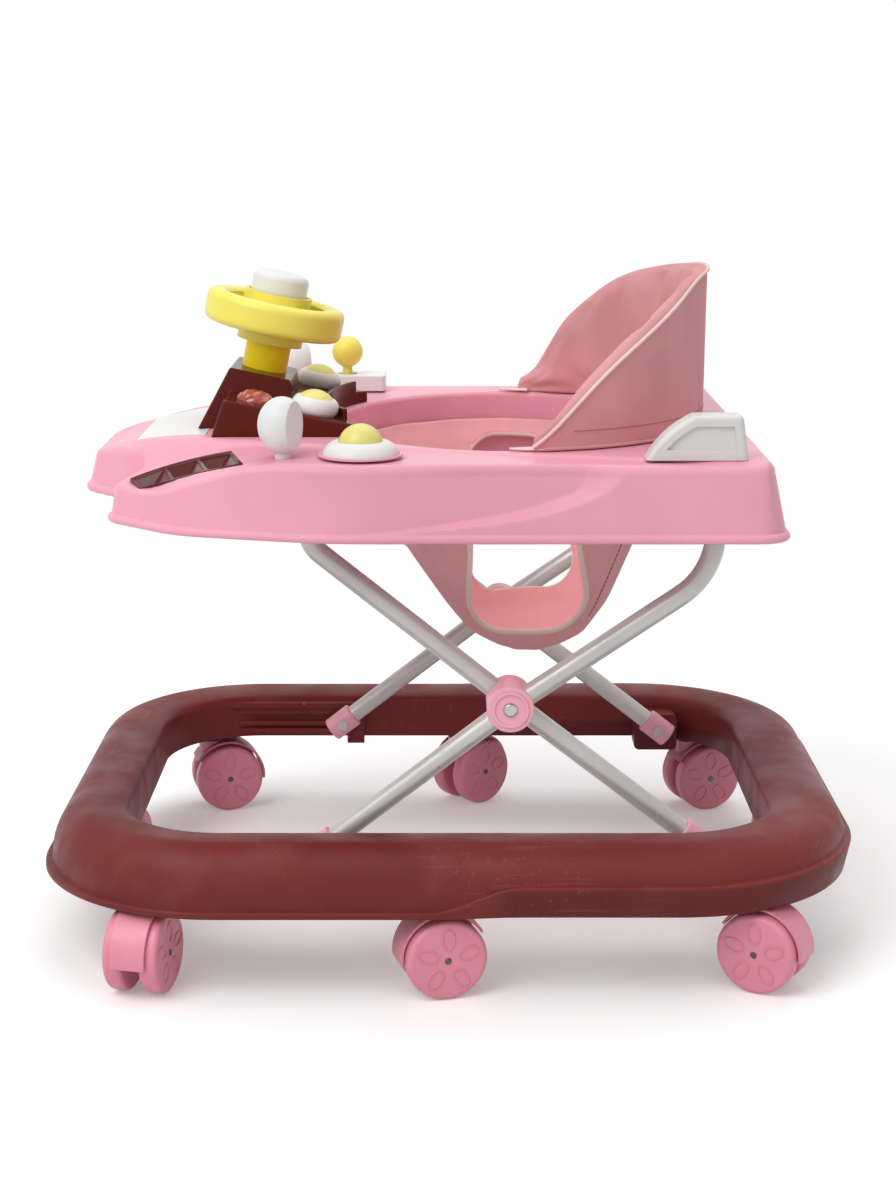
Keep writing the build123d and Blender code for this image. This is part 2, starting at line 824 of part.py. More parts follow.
# Console: a low sloping tier, a block that carries the steering column, and a hollow for the electronics
lean_angle = math.radians(lean)
lean_axis = (math.sin(lean_angle), 0, math.cos(lean_angle))
steer_plane = Plane(
    origin=(steer_x, 0, steer_z), x_dir=(math.cos(lean_angle), 0, -math.sin(lean_angle)), z_dir=lean_axis
)
with BuildPart() as console_body:
    with BuildSketch(Plane.XZ):
        with BuildLine():
            Polyline(
                (tier_front_x, deck_z),
                (tier_top_front_x, deck_z + tier_front_height),
                (tier_rear_x, deck_z + tier_rear_height),
                (tier_rear_x, deck_z),
                close=True,
            )
        make_face()
    extrude(amount=console_half_width, both=True)
    fillet(console_body.edges().group_by(Axis.Z)[1:], console_round)
    with BuildSketch(steer_plane):
        Rectangle(block_length, block_width)
    extrude(amount=deck_z - steer_z - block_length / 2, taper=-block_draft)
    fillet(console_body.faces().sort_by(Axis.Z)[-1].edges(), console_round)
    split(bisect_by=Plane.XY.offset(deck_z), keep=Keep.TOP)
    with BuildSketch(Plane.XY.offset(deck_z)):
        with Locations((hub_x, 0)):
            Ellipse(opening_half_length + console_setback, opening_half_width + console_setback)
    extrude(amount=steer_z - deck_z, mode=Mode.SUBTRACT)
    with BuildSketch(Plane.XY.offset(deck_z)):
        with Locations((steer_x, 0)):
            Rectangle(cavity_length, cavity_width)
    extrude(amount=cavity_height, mode=Mode.SUBTRACT)
    # Lip along the rear edge, round the opening
    lip_reach = opening_half_length + console_setback + lip_wall
    with BuildSketch(Plane.XY.offset(deck_z)):
        with Locations((hub_x, 0)):
            Ellipse(lip_reach, opening_half_width + console_setback + lip_wall)
            Ellipse(opening_half_length + console_setback, opening_half_width + console_setback, mode=Mode.SUBTRACT)
            Rectangle(lip_reach, 2 * lip_half_width, align=(Align.MAX, Align.CENTER), mode=Mode.INTERSECT)
    extrude(amount=lip_height)

with BuildPart() as sound_board:
    with BuildSketch(Plane.XY.offset(deck_z)):
        with Locations((steer_x, 0)):
            Rectangle(board_length, board_width)
    extrude(amount=board_thickness)

with BuildPart() as speaker:
    with BuildSketch(Plane.XY.offset(deck_z + cavity_height)):
        with Locations((steer_x, 0)):
            Circle(speaker_radius)
    extrude(amount=-speaker_height)


def tier_plane(x, y):
    """Plane on the sloping top of the tier."""
    slope = math.radians(tier_slope)
    z = deck_z + tier_front_height - (x - tier_top_front_x) * math.tan(slope)
    return Plane(
        origin=(x, y, z), x_dir=(math.cos(slope), 0, -math.sin(slope)), z_dir=(math.sin(slope), 0, math.cos(slope))
    )


lens_plane = tier_plane(lens_x, lens_y)
with BuildPart() as console_lenses:
    with BuildSketch(lens_plane):
        Ellipse(lens_half_length, lens_height)
        Rectangle(2 * lens_half_length, lens_height, align=(Align.CENTER, Align.MIN), mode=Mode.INTERSECT)
    revolve(axis=Axis(lens_plane.origin, lens_plane.x_dir), revolution_arc=180)
    mirror(about=Plane.XZ)


def button_cap(plane, radius, base, top, crown, stem_radius, stem_end):
    """Button cap with a round crown and a guide stem, heights along the plane's normal."""
    crown_radius = (radius**2 + crown**2) / (2 * crown)
    with BuildPart() as cap:
        with BuildSketch(Plane(origin=plane.origin, x_dir=plane.x_dir, z_dir=-plane.y_dir)) as half:
            with BuildLine():
                Polyline((stem_radius, stem_end), (0, stem_end), (0, top + crown))
                RadiusArc((0, top + crown), (radius, top), crown_radius)
                Polyline((radius, top), (radius, base), (stem_radius, base), (stem_radius, stem_end))
            make_face()
        revolve(half.sketch, axis=Axis(plane.origin, plane.z_dir))
    return cap


def bulged_ring(plane, foot, lip, height, bulge, bore, floor, stem_bore):
    """Ring with a bulging outer wall, a bore for a cap above its floor and one for the stem."""
    with BuildPart() as ring:
        with BuildSketch(Plane(origin=plane.origin, x_dir=plane.x_dir, z_dir=-plane.y_dir)) as half:
            with BuildLine():
                RadiusArc((lip, height), (foot, 0), bulge)
                Polyline((foot, 0), (stem_bore, 0), (stem_bore, floor), (bore, floor), (bore, height), (lip, height))
            make_face()
        revolve(half.sketch, axis=Axis(plane.origin, plane.z_dir))
    return ring


button_planes = {-1: tier_plane(button_x, -button_y), 1: tier_plane(button_x + button_right_shift, button_y)}
with BuildPart() as button_rings:
    for plane in button_planes.values():
        ring = bulged_ring(
            plane,
            button_ring_foot,
            button_ring_lip,
            button_ring_height,
            button_ring_bulge,
            button_radius + 2 * running_fit,
            button_ring_floor,
            button_stem_radius + running_fit,
        )
        add(ring.part)

button_values = (
    button_radius,
    button_ring_height - button_rise,
    button_ring_height,
    button_crown,
    button_stem_radius,
    button_travel + slide_fit,
)
button_left = button_cap(button_planes[-1], *button_values)
button_right = button_cap(button_planes[1], *button_values)

# Dome button on the left deck
dome_plane = Plane.XY.offset(deck_z).shift_origin((dome_x, dome_y, deck_z))
dome_base = bulged_ring(
    dome_plane,
    dome_base_radius,
    dome_base_top_radius,
    dome_base_height,
    dome_base_bulge,
    dome_radius + 2 * running_fit,
    dome_floor,
    dome_stem_radius + running_fit,
)

dome_button = button_cap(
    dome_plane,
    dome_radius,
    dome_floor + dome_travel + slide_fit,
    dome_base_height,
    dome_height,
    dome_stem_radius,
    dome_travel + slide_fit,
)

# Steering column, wheel and horn on the leaning axis
with BuildPart() as steering_column:
    with BuildSketch(steer_plane):
        Circle(column_radius)
    extrude(amount=column_height)
    with BuildSketch(steer_plane.offset(column_height)):
        Circle(column_pin_radius)
    extrude(amount=column_pin_length)

flange_low = column_height + slide_fit
spoke_low = flange_low + flange_height
rim_inner_radius = rim_radius - rim_width
hub_top = spoke_low + rim_height
pin_bore_top = column_height + column_pin_length + slide_fit
rim_plane = Plane(origin=steer_plane.origin, x_dir=steer_plane.x_dir, z_dir=-steer_plane.y_dir)
with BuildPart() as steering_wheel:
    with BuildSketch(rim_plane):
        with Locations((rim_radius - rim_width / 2, spoke_low + rim_height / 2)):
            RectangleRounded(rim_width, rim_height, rim_round)
    revolve(axis=Axis(steer_plane.origin, steer_plane.z_dir))
    with BuildSketch(steer_plane.offset(hub_top - spoke_drop - spoke_height)):
        Circle(rim_radius - rim_width / 2)
        for gap in range(spoke_count):
            gap_start = gap * 360 / spoke_count - gap_half_angle
            with BuildLine():
                outer = CenterArc((0, 0), rim_inner_radius, gap_start, 2 * gap_half_angle)
                inner = CenterArc((0, 0), wheel_hub_radius, gap_start, 2 * gap_half_angle)
                Line(outer @ 0, inner @ 0)
                Line(outer @ 1, inner @ 1)
            make_face(mode=Mode.SUBTRACT)
    extrude(amount=spoke_height)
    with BuildSketch(steer_plane.offset(spoke_low)):
        Circle(wheel_hub_radius)
    extrude(amount=rim_height + collar_height)
    with BuildSketch(steer_plane.offset(flange_low)):
        Circle(flange_radius)
    extrude(amount=flange_height)
    with BuildSketch(steer_plane.offset(hub_top)):
        Circle(wheel_hub_radius - collar_wall)
    extrude(amount=collar_height, mode=Mode.SUBTRACT)
    with BuildSketch(steer_plane.offset(flange_low)):
        Circle(column_pin_radius + running_fit)
    extrude(amount=pin_bore_top - flange_low, mode=Mode.SUBTRACT)
    with BuildSketch(steer_plane.offset(hub_top - horn_stem_length - horn_travel)):
        Circle(horn_stem_radius + running_fit)
    extrude(amount=horn_stem_length + horn_travel, mode=Mode.SUBTRACT)

horn_low = hub_top + horn_travel + horn_gap
with BuildPart() as horn_button:
    with BuildSketch(steer_plane.offset(horn_low)):
        Circle(horn_radius)
    extrude(amount=horn_height)
    fillet(horn_button.edges().group_by(Axis(steer_plane.origin, steer_plane.z_dir))[-1], horn_round)
    with BuildSketch(steer_plane.offset(horn_low)):
        Circle(horn_stem_radius)
    extrude(amount=-horn_stem_length)

# Shifter: a hollow box with a slot, and a lever that swings on its own pin
with BuildPart() as shifter_base:
    with BuildSketch(Plane.XY.offset(deck_z)):
        with Locations((shifter_x, shifter_y)):
            RectangleRounded(shifter_length, shifter_width, 2 * shifter_wall)
    extrude(amount=shifter_height)
    fillet(shifter_base.edges().group_by(Axis.Z)[-1], shifter_wall / 2)
    with BuildSketch(Plane.XY.offset(deck_z)):
        with Locations((shifter_x, shifter_y)):
            Rectangle(shifter_length - 2 * shifter_wall, shifter_width - 2 * shifter_wall)
    extrude(amount=shifter_height - shifter_wall, mode=Mode.SUBTRACT)
    swing_reach = (shifter_height - shifter_pivot_height) * math.tan(math.radians(lever_swing))
    slot_half = swing_reach + lever_stem_radius / math.cos(math.radians(lever_swing)) + lever_slot_gap
    with BuildSketch(Plane.XY.offset(deck_z)):
        with Locations((lever_x, shifter_y)):
            Rectangle(2 * slot_half, 2 * (lever_stem_radius + lever_slot_gap))
    extrude(amount=2 * shifter_height, mode=Mode.SUBTRACT)
    with BuildSketch(along_y(lever_x, shifter_y, deck_z + shifter_pivot_height)):
        Circle(lever_pin_radius + running_fit)
    extrude(amount=shifter_width, both=True, mode=Mode.SUBTRACT)

lever_plane = along_y(lever_x, shifter_y, deck_z + shifter_pivot_height)
with BuildPart() as shifter_lever:
    with BuildSketch(lever_plane):
        Circle(lever_barrel_radius)
    extrude(amount=lever_width / 2, both=True)
    with BuildSketch(lever_plane):
        Circle(lever_pin_radius)
    extrude(amount=shifter_width / 2 - slide_fit, both=True)
    with BuildSketch(Plane.XY.offset(deck_z + shifter_pivot_height)):
        with Locations((lever_x, shifter_y)):
            Circle(lever_stem_radius)
    extrude(amount=lever_length)
    with Locations((lever_x, shifter_y, deck_z + shifter_pivot_height + lever_length)):
        Sphere(knob_radius)


def mirror_piece(side):
    """Egg-shaped mirror with a flat face, on a stem that turns in the deck."""
    centre_z = deck_z + mirror_stem_height + mirror_half_height
    face_turn = math.radians(side * mirror_turn)
    face_dir = Vector(math.cos(face_turn), math.sin(face_turn), 0)
    centre = Vector(mirror_places[side], side * mirror_y, centre_z)
    with BuildPart() as egg:
        with Locations(centre):
            Sphere(mirror_radius)
        scale(by=(1, 1, mirror_half_height / mirror_radius), about=centre)
        with BuildSketch(Plane(origin=centre + face_dir * mirror_face, z_dir=face_dir)):
            Rectangle(2 * mirror_half_height, 2 * mirror_half_height)
        extrude(amount=mirror_radius, mode=Mode.SUBTRACT)
        with BuildSketch(Plane.XY.offset(deck_z - mirror_stem_depth)):
            with Locations((centre.X, centre.Y)):
                Circle(mirror_stem_radius)
        extrude(amount=mirror_stem_depth + mirror_stem_height + mirror_half_height / 2)
    return egg


mirror_left = mirror_piece(-1)
mirror_right = mirror_piece(1)

# Seat back: a padded band round the rear of the opening, cut to its falling side edges
with BuildPart() as seat_back:
    with BuildSketch(Plane.XY.offset(deck_z)):
        with Locations((hub_x, 0)):
            Ellipse(back_half_length, back_half_width)
            Ellipse(back_half_length - back_thickness, back_half_width - back_thickness, mode=Mode.SUBTRACT)
    extrude(amount=back_top_z - deck_z)
    with BuildSketch(Plane.XZ):
        with BuildLine():
            ThreePointArc((back_side_x, deck_z), (back_middle_x, back_middle_z), (back_side_top_x, back_top_z))
            Polyline(
                (back_side_top_x, back_top_z),
                (hub_x + 2 * back_half_length, back_top_z),
                (hub_x + 2 * back_half_length, deck_z),
                (back_side_x, deck_z),
            )
        make_face()
    extrude(amount=back_half_width, both=True, mode=Mode.INTERSECT)
    fillet(seat_back.edges().filter_by(lambda e: e.center().Z > deck_z + seat_fit), back_edge_round)

# Sling: a collar in the opening and a bowl of cloth that narrows downwards, with a hole for each leg
collar_low_z = deck_z - sling_collar


def sling_bowl(inset):
    """Bowl and collar of the sling, or with an inset the space inside them."""
    mouth = (opening_half_length - seat_fit - inset, opening_half_width - seat_fit - inset)
    with BuildPart() as bowl:
        with BuildSketch(Plane.XY.offset(collar_low_z)) as collar:
            with Locations((hub_x, 0)):
                Ellipse(*mouth)
        for z, x, half_length, half_width in sling_rings:
            lift = inset if z == sling_bottom_z else 0
            with BuildSketch(Plane.XY.offset(z + lift)):
                with Locations((x, 0)):
                    Ellipse(half_length - inset, half_width - inset)
        loft()
        extrude(collar.sketch, amount=sling_collar)
    return bowl


sling_outside = sling_bowl(0)
sling_inside = sling_bowl(sling_thickness)
with BuildPart() as seat_sling:
    add(sling_outside.part)
    add(sling_inside.part, mode=Mode.SUBTRACT)
    with BuildSketch(Plane.XZ):
        with Locations((leg_hole_x, leg_hole_z)):
            Ellipse(leg_hole_half_length, leg_hole_half_height)
    extrude(amount=opening_half_width, both=True, mode=Mode.SUBTRACT)

pieces = {
    "base_ring": base_ring,
    "foot_tracks": foot_tracks,
    "hinge_brackets": hinge_brackets,
    **casters,
    "inner_leg_tube": inner_leg_tube,
    "inner_leg_feet": inner_leg_feet,
    "inner_foot_pins": inner_foot_pins,
    "inner_hubs": inner_hubs,
    "outer_leg_tube": outer_leg_tube,
    "outer_leg_feet": outer_leg_feet,
    "outer_foot_pins": outer_foot_pins,
    "outer_hubs": outer_hubs,
    "hub_rivets": hub_rivets,
    "tray_shell": tray_shell,
    "headlight_strips": headlight_strips,
    "hood_panel": hood_panel,
    "tail_fins": tail_fins,
    "pivot_brackets": pivot_brackets,
    "height_racks": height_racks,
    "console_body": console_body,
    "console_lenses": console_lenses,
    "sound_board": sound_board,
    "speaker": speaker,
    "button_rings": button_rings,
    "button_left": button_left,
    "button_right": button_right,
    "dome_base": dome_base,
    "dome_button": dome_button,
    "steering_column": steering_column,
    "steering_wheel": steering_wheel,
    "horn_button": horn_button,
    "shifter_base": shifter_base,
    "shifter_lever": shifter_lever,
    "mirror_left": mirror_left,
    "mirror_right": mirror_right,
    "seat_back": seat_back,
    "seat_sling": seat_sling,
}
for label, piece in pieces.items():
    piece.part.label = label
    export_step(piece.part, f"parts/{label}.step")
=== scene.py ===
import json
import math

import bmesh
import bpy
import numpy as np
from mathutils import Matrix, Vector
from mathutils.bvhtree import BVHTree


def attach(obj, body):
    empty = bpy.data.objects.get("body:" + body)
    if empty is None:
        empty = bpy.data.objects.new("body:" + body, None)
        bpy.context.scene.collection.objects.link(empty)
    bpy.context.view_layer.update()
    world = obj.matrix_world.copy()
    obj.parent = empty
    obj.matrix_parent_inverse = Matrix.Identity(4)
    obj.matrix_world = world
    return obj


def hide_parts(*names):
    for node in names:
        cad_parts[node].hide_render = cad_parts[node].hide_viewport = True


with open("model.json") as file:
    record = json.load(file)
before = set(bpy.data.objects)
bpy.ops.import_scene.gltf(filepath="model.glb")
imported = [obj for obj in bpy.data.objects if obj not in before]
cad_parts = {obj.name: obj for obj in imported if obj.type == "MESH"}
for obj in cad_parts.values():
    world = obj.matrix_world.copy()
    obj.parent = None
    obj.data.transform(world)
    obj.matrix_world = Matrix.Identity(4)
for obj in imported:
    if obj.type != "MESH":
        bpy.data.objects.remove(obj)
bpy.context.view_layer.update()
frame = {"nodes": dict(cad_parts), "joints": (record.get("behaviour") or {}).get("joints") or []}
nodes = frame["nodes"]

# Sizes and places in millimetres, most as in the solids: +X to the rear, +Z up, floor at z = 0
MM = 0.001
HUB_X = 48
RING_HALF_LENGTH, RING_HALF_WIDTH, RING_CORNER = 325, 265, 150
RING_WIDTH, RING_WALL, RING_LIP_Z, RING_CREST_Z, RING_CREST_INSET = 68, 3, 67.5, 118, 36
DECK_Z, RIM_Z, NOSE_RIM_Z = 408, 350, 357
OPENING_X, OPENING_Y = 141, 172
FENDER_FALL_X, FENDER_FALL_R = -110, 360
ROLL_FROM_Y, ROLL_SLOPE, ROLL_FULL_X, ROLL_END_X = 150, 0.25, -235, -110
TIP_SLOPE, TIP_X, TIP_END_X = 0.25, -250, -180
PANEL_FRONT, PANEL_REAR, PANEL_SINK = (-246, 58), (-196, 82), 1.2
NOSE_FALL_X, NOSE_FALL_R = -170, 370
NOSE_REAR_X, NOSE_REAR_HALF, NOSE_TAPER, NOSE_TAPER_COS = -105, 138, 42 / 153, 0.964
NOSE_SIDE_RISE, NOSE_SIDE_FOOT, NOSE_EDGE_ROUND = 0.95, 6, 7
STRIP = ((-244, 150), (-166, 150), (-152, 203), (-235, 167))
BACK_X, BACK_Y, BACK_THICK = 164, 185, 18


# Small tools for points and meshes
def smooth(value, low, high):
    """0 below low, 1 above high, eased between."""
    t = np.clip((np.asarray(value, float) - low) / (high - low), 0, 1)
    return t * t * (3 - 2 * t)


def soft_min(a, b, reach):
    """The lower of two heights, rounded where they meet."""
    h = np.clip(reach - np.abs(a - b), 0, None) / reach
    return np.minimum(a, b) - h * h * reach / 4


def rounded_path(corners, radii, step=1.0):
    """Points along a closed polygon whose corners have the given radii."""
    points = []
    count = len(corners)
    for i, radius in enumerate(radii):
        corner = Vector(corners[i])
        back = (Vector(corners[i - 1]) - corner).normalized()
        ahead = (Vector(corners[(i + 1) % count]) - corner).normalized()
        half = back.angle(ahead) / 2
        if radius == 0 or half > math.radians(89):
            points.append(corner)
            continue
        centre = corner + (back + ahead).normalized() * radius / math.sin(half)
        start = corner + back * radius / math.tan(half) - centre
        turn = (math.pi - 2 * half) * (1 if back.cross(ahead) < 0 else -1)
        pieces = max(3, int(abs(turn) * radius / step))
        for k in range(pieces + 1):
            a = turn * k / pieces
            points.append(centre + Vector((start.x * math.cos(a) - start.y * math.sin(a),
                                           start.x * math.sin(a) + start.y * math.cos(a))))
    return np.array([tuple(p) for p in points])


def resample(points, count, closed=True):
    """The same line with evenly spaced points."""
    line = np.vstack([points, points[:1]]) if closed else np.asarray(points, float)
    length = np.concatenate([[0], np.cumsum(np.linalg.norm(np.diff(line, axis=0), axis=1))])
    at = np.linspace(0, length[-1], count, endpoint=not closed)
    return np.stack([np.interp(at, length, line[:, k]) for k in range(line.shape[1])], 1)


def inward(points):
    """Unit normals to the left of a closed line that runs anticlockwise."""
    along = np.roll(points, -1, 0) - np.roll(points, 1, 0)
    along /= np.linalg.norm(along, axis=1)[:, None]
    return np.stack([-along[:, 1], along[:, 0]], 1)


def grid_faces(rows, columns, close_rows, close_columns):
    """Four-sided faces of a grid of points, joined end to end where asked."""
    faces = []
    for i in range(rows if close_rows else rows - 1):
        for j in range(columns if close_columns else columns - 1):
            a, b = i * columns, (i + 1) % rows * columns
            k = (j + 1) % columns
            faces.append((a + j, a + k, b + k, b + j))
    return faces


def mesh_piece(name, points, faces, material, sharp=35):
    """A new mesh object from points in millimetres."""
    mesh = bpy.data.meshes.new(name)
    mesh.from_pydata([tuple(p) for p in np.asarray(points, float) * MM], [], faces)
    tidy = bmesh.new()
    tidy.from_mesh(mesh)
    bmesh.ops.recalc_face_normals(tidy, faces=tidy.faces)
    tidy.to_mesh(mesh)
    tidy.free()
    mesh.polygons.foreach_set("use_smooth", [True] * len(mesh.polygons))
    mesh.set_sharp_from_angle(angle=math.radians(sharp))
    mesh.materials.append(material)
    piece = bpy.data.objects.new(name, mesh)
    bpy.context.scene.collection.objects.link(piece)
    return piece


def tube_grid(path, radius, sides=10, closed=False):
    """Points and faces of a round tube along a line."""
    path = np.asarray(path, float)
    along = np.roll(path, -1, 0) - np.roll(path, 1, 0)
    if not closed:
        along[0], along[-1] = path[1] - path[0], path[-1] - path[-2]
    along /= np.linalg.norm(along, axis=1)[:, None]
    up = np.array([0.3, 0.2, 0.93])
    points = []
    for p, t in zip(path, along):
        across = np.cross(t, up)
        across /= np.linalg.norm(across)
        up = np.cross(across, t)
        for k in range(sides):
            a = 2 * math.pi * k / sides
            points.append(p + radius * (math.cos(a) * across + math.sin(a) * up))
    faces = grid_faces(len(path), sides, closed, True)
    if not closed:
        faces += [tuple(range(sides)), tuple(range(len(points) - sides, len(points)))]
    return points, faces


def joined(*grids):
    """Several sets of points and faces as one."""
    points, faces = [], []
    for some, their in grids:
        faces += [tuple(k + len(points) for k in f) for f in their]
        points += [tuple(p) for p in some]
    return points, faces


def lathe(profile, centre, sides=32):
    """Points and faces of a closed profile of radius and height turned about a vertical axis."""
    points = [(centre[0] + r * math.cos(a), centre[1] + r * math.sin(a), z)
              for a in np.linspace(0, 2 * math.pi, sides, endpoint=False) for r, z in profile]
    return points, grid_faces(sides, len(profile), True, True)


# Materials
def linear(red, green, blue):
    """Linear colour of an sRGB one given from 0 to 255."""
    def channel(v):
        v /= 255
        return v / 12.92 if v <= 0.04045 else ((v + 0.055) / 1.055) ** 2.4
    return (channel(red), channel(green), channel(blue), 1.0)


def shaded(colour, factor):
    return tuple(min(1.0, c * factor) for c in colour[:3]) + (1.0,)


class Finish:
    """A material and short ways to wire its nodes."""

    def __init__(self, name, **values):
        self.material = bpy.data.materials.new(name)
        self.material.use_nodes = True
        self.tree = self.material.node_tree
        self.shader = self.tree.nodes["Principled BSDF"]
        self.place = self.tree.nodes.new("ShaderNodeTexCoord").outputs["Object"]
        for key, value in values.items():
            self.feed(self.shader.inputs[key.replace("_", " ").title().replace("Ior", "IOR")], value)

    def feed(self, socket, value):
        if isinstance(value, bpy.types.NodeSocket):
            self.tree.links.new(value, socket)
        else:
            socket.default_value = value

    def node(self, kind, inputs, output=0, **settings):
        made = self.tree.nodes.new("ShaderNode" + kind)
        for key, value in settings.items():
            setattr(made, key, value)
        for key, value in inputs.items():
            self.feed(made.inputs[key], value)
        return made.outputs[output]

    def noise(self, scale, detail=2.0, stretch=(1, 1, 1), place=None):
        moved = self.node("VectorMath", {0: place or self.place, 1: stretch}, operation="MULTIPLY")
        return self.node("TexNoise", {"Vector": moved, "Scale": scale, "Detail": detail})

    def span(self, value, low, high, start=0.0, end=1.0):
        return self.node("MapRange", {"Value": value, "From Min": low, "From Max": high,
                                      "To Min": start, "To Max": end}, interpolation_type="SMOOTHSTEP")

    def mix(self, factor, first, second):
        return self.node("Mix", {0: factor, 6: first, 7: second}, output=2, data_type="RGBA")

    def times(self, a, b):
        return self.node("Math", {0: a, 1: b}, operation="MULTIPLY")

    def larger(self, a, b):
        return self.node("Math", {0: a, 1: b}, operation="MAXIMUM")

    def axes(self, vector):
        parts = self.tree.nodes.new("ShaderNodeSeparateXYZ")
        self.feed(parts.inputs[0], vector)
        return parts.outputs

    def bump(self, height, strength, depth_mm, below=None):
        inputs = {"Height": height, "Strength": strength, "Distance": depth_mm * MM}
        if below is not None:
            inputs["Normal"] = below
        return self.node("Bump", inputs)

    def scratches(self, stretch, cover):
        """Hairlines along one direction, in patches."""
        lines = self.span(self.noise(1.0, 1.0, stretch), 0.64, 0.70)
        patch = self.span(self.noise(9.0, 2.0), 1 - cover, 1.1 - cover)
        return self.times(lines, patch)

    def use(self, colour=None, roughness=None, normal=None):
        for key, value in (("Base Color", colour), ("Roughness", roughness), ("Normal", normal)):
            if value is not None:
                self.feed(self.shader.inputs[key], value)
        return self.material


def moulded(name, colour, rough=0.35, grain=0.12, wear=0.0, worn=None, edge_mm=0.0, speck=0.1, peel=900.0,
            uneven=0.06, **values):
    """Moulded plastic: a slightly uneven colour, a fine grain, softened edges and hairline wear."""
    f = Finish(name, **values)
    tone = f.mix(f.span(f.noise(7.0, 3.0), 0.35, 0.65), shaded(colour, 0.93), shaded(colour, 1.05))
    specks = f.span(f.noise(420.0, 1.0), 0.55, 0.75, 0.0, speck)
    tone = f.mix(specks, tone, shaded(colour, 0.8))
    finish = f.span(f.noise(38.0, 4.0), 0.3, 0.7, rough - uneven, rough + uneven)
    height = f.noise(peel, 2.0)
    softened = f.node("Bevel", {"Radius": edge_mm * MM}, samples=6) if edge_mm else None
    normal = f.bump(height, grain, 0.12, softened)
    if wear:
        marks = f.larger(f.scratches((14, 420, 420), 0.45), f.scratches((300, 16, 300), 0.4))
        tone = f.mix(f.times(marks, wear), tone, worn or shaded(colour, 1.5))
        normal = f.bump(marks, 0.25, 0.1, normal)
    return f.use(tone, finish, normal)


# Painted shade on the ring's stepped skirt: full below the first height, gone by the second, setting in from
# the first x to the second, in millimetres
SKIRT_SHADE_Z, SKIRT_SHADE_X = (88, 93.5), (20, 50)


def ring_finish():
    """Brown satin plastic with rubbed patches, scuffs and pale nicks, and painted shade darkening the stepped
    skirt.
    """
    colour = linear(117, 44, 42)
    f = Finish("brown_plastic", specular_ior_level=0.2)
    tone = f.mix(f.span(f.noise(5.0, 4.0), 0.35, 0.68), shaded(colour, 0.82), shaded(colour, 1.16))
    rubbed = f.times(f.span(f.noise(16.0, 6.0, (1, 1.7, 1)), 0.52, 0.72), 0.35)
    tone = f.mix(rubbed, tone, linear(136, 70, 66))
    # Painted shade: the rear half's stepped skirt is darkened in its colour, standing in for the shade under
    # its ledge
    x, _, z = f.axes(f.place)
    below = f.span(z, SKIRT_SHADE_Z[0] * MM, SKIRT_SHADE_Z[1] * MM, 1.0, 0.0)
    low = f.times(below, f.span(x, SKIRT_SHADE_X[0] * MM, SKIRT_SHADE_X[1] * MM))
    tone = f.mix(f.times(low, 0.6), tone, shaded(colour, 0.45))
    marks = f.larger(f.scratches((9, 330, 330), 0.5), f.scratches((240, 11, 260), 0.5))
    tone = f.mix(f.times(marks, 0.12), tone, linear(176, 120, 112))
    nicks = f.span(f.noise(85.0, 3.0), 0.775, 0.8)
    tone = f.mix(f.times(nicks, 0.55), tone, linear(196, 150, 142))
    finish = f.span(f.noise(24.0, 5.0), 0.3, 0.7, 0.36, 0.55)
    normal = f.bump(f.noise(700.0, 2.0), 0.2, 0.15)
    normal = f.bump(marks, 0.3, 0.12, normal)
    return f.use(tone, finish, normal)


def painted_tube():
    """Silver-grey lacquer on steel tube."""
    colour = linear(206, 205, 201)
    f = Finish("silver_lacquer", metallic=0.2, coat_weight=0.35, coat_roughness=0.22)
    tone = f.mix(f.span(f.noise(14.0, 4.0), 0.35, 0.7), shaded(colour, 0.9), shaded(colour, 1.04))
    marks = f.scratches((120, 500, 40), 0.45)
    tone = f.mix(f.times(marks, 0.35), tone, linear(120, 116, 112))
    flake = f.noise(2400.0, 1.0)
    tone = f.mix(f.span(flake, 0.5, 0.8, 0.0, 0.12), tone, linear(235, 235, 235))
    finish = f.span(f.noise(60.0, 3.0), 0.3, 0.7, 0.3, 0.42)
    return f.use(tone, finish, f.bump(f.noise(320.0, 2.0), 0.12, 0.1))


def steel(name, dark, pale):
    """Brushed steel between two greys."""
    f = Finish(name, metallic=1.0)
    tone = f.mix(f.noise(60.0, 4.0), linear(dark, dark, dark - 4), linear(pale, pale, pale - 6))
    brushed = f.noise(1.0, 2.0, (900, 90, 900))
    return f.use(tone, f.span(brushed, 0.3, 0.7, 0.24, 0.42), f.bump(brushed, 0.15, 0.05))


def fabric(name, colour, weave_mm, fuzz):
    """Woven cloth: two crossing threads along the cloth's own directions, with a soft nap."""
    f = Finish(name, sheen_weight=fuzz, sheen_roughness=0.45)
    f.feed(f.shader.inputs["Sheen Tint"], shaded(colour, 1.25))
    cloth = f.node("Attribute", {}, output=1, attribute_name="thread")
    scale = 2 * math.pi / weave_mm
    across, along, _ = f.axes(cloth)
    warp = f.node("Math", {0: f.times(across, scale)}, operation="SINE")
    weft = f.node("Math", {0: f.times(along, scale)}, operation="SINE")
    weave = f.times(warp, weft)
    nap = f.noise(1500.0, 3.0)
    tone = f.mix(f.span(f.noise(11.0, 4.0), 0.35, 0.7), shaded(colour, 0.9), shaded(colour, 1.06))
    tone = f.mix(f.span(weave, -0.6, 0.9, 0.0, 0.22), tone, shaded(colour, 0.74))
    tone = f.mix(f.span(nap, 0.5, 0.75, 0.0, 0.2), tone, shaded(colour, 1.25))
    normal = f.bump(weave, 0.35, 0.25)
    normal = f.bump(nap, 0.3, 0.2, normal)
    normal = f.bump(f.noise(55.0, 4.0), 0.35, 1.2, normal)
    return f.use(tone, f.span(nap, 0.3, 0.7, 0.78, 0.95), normal)


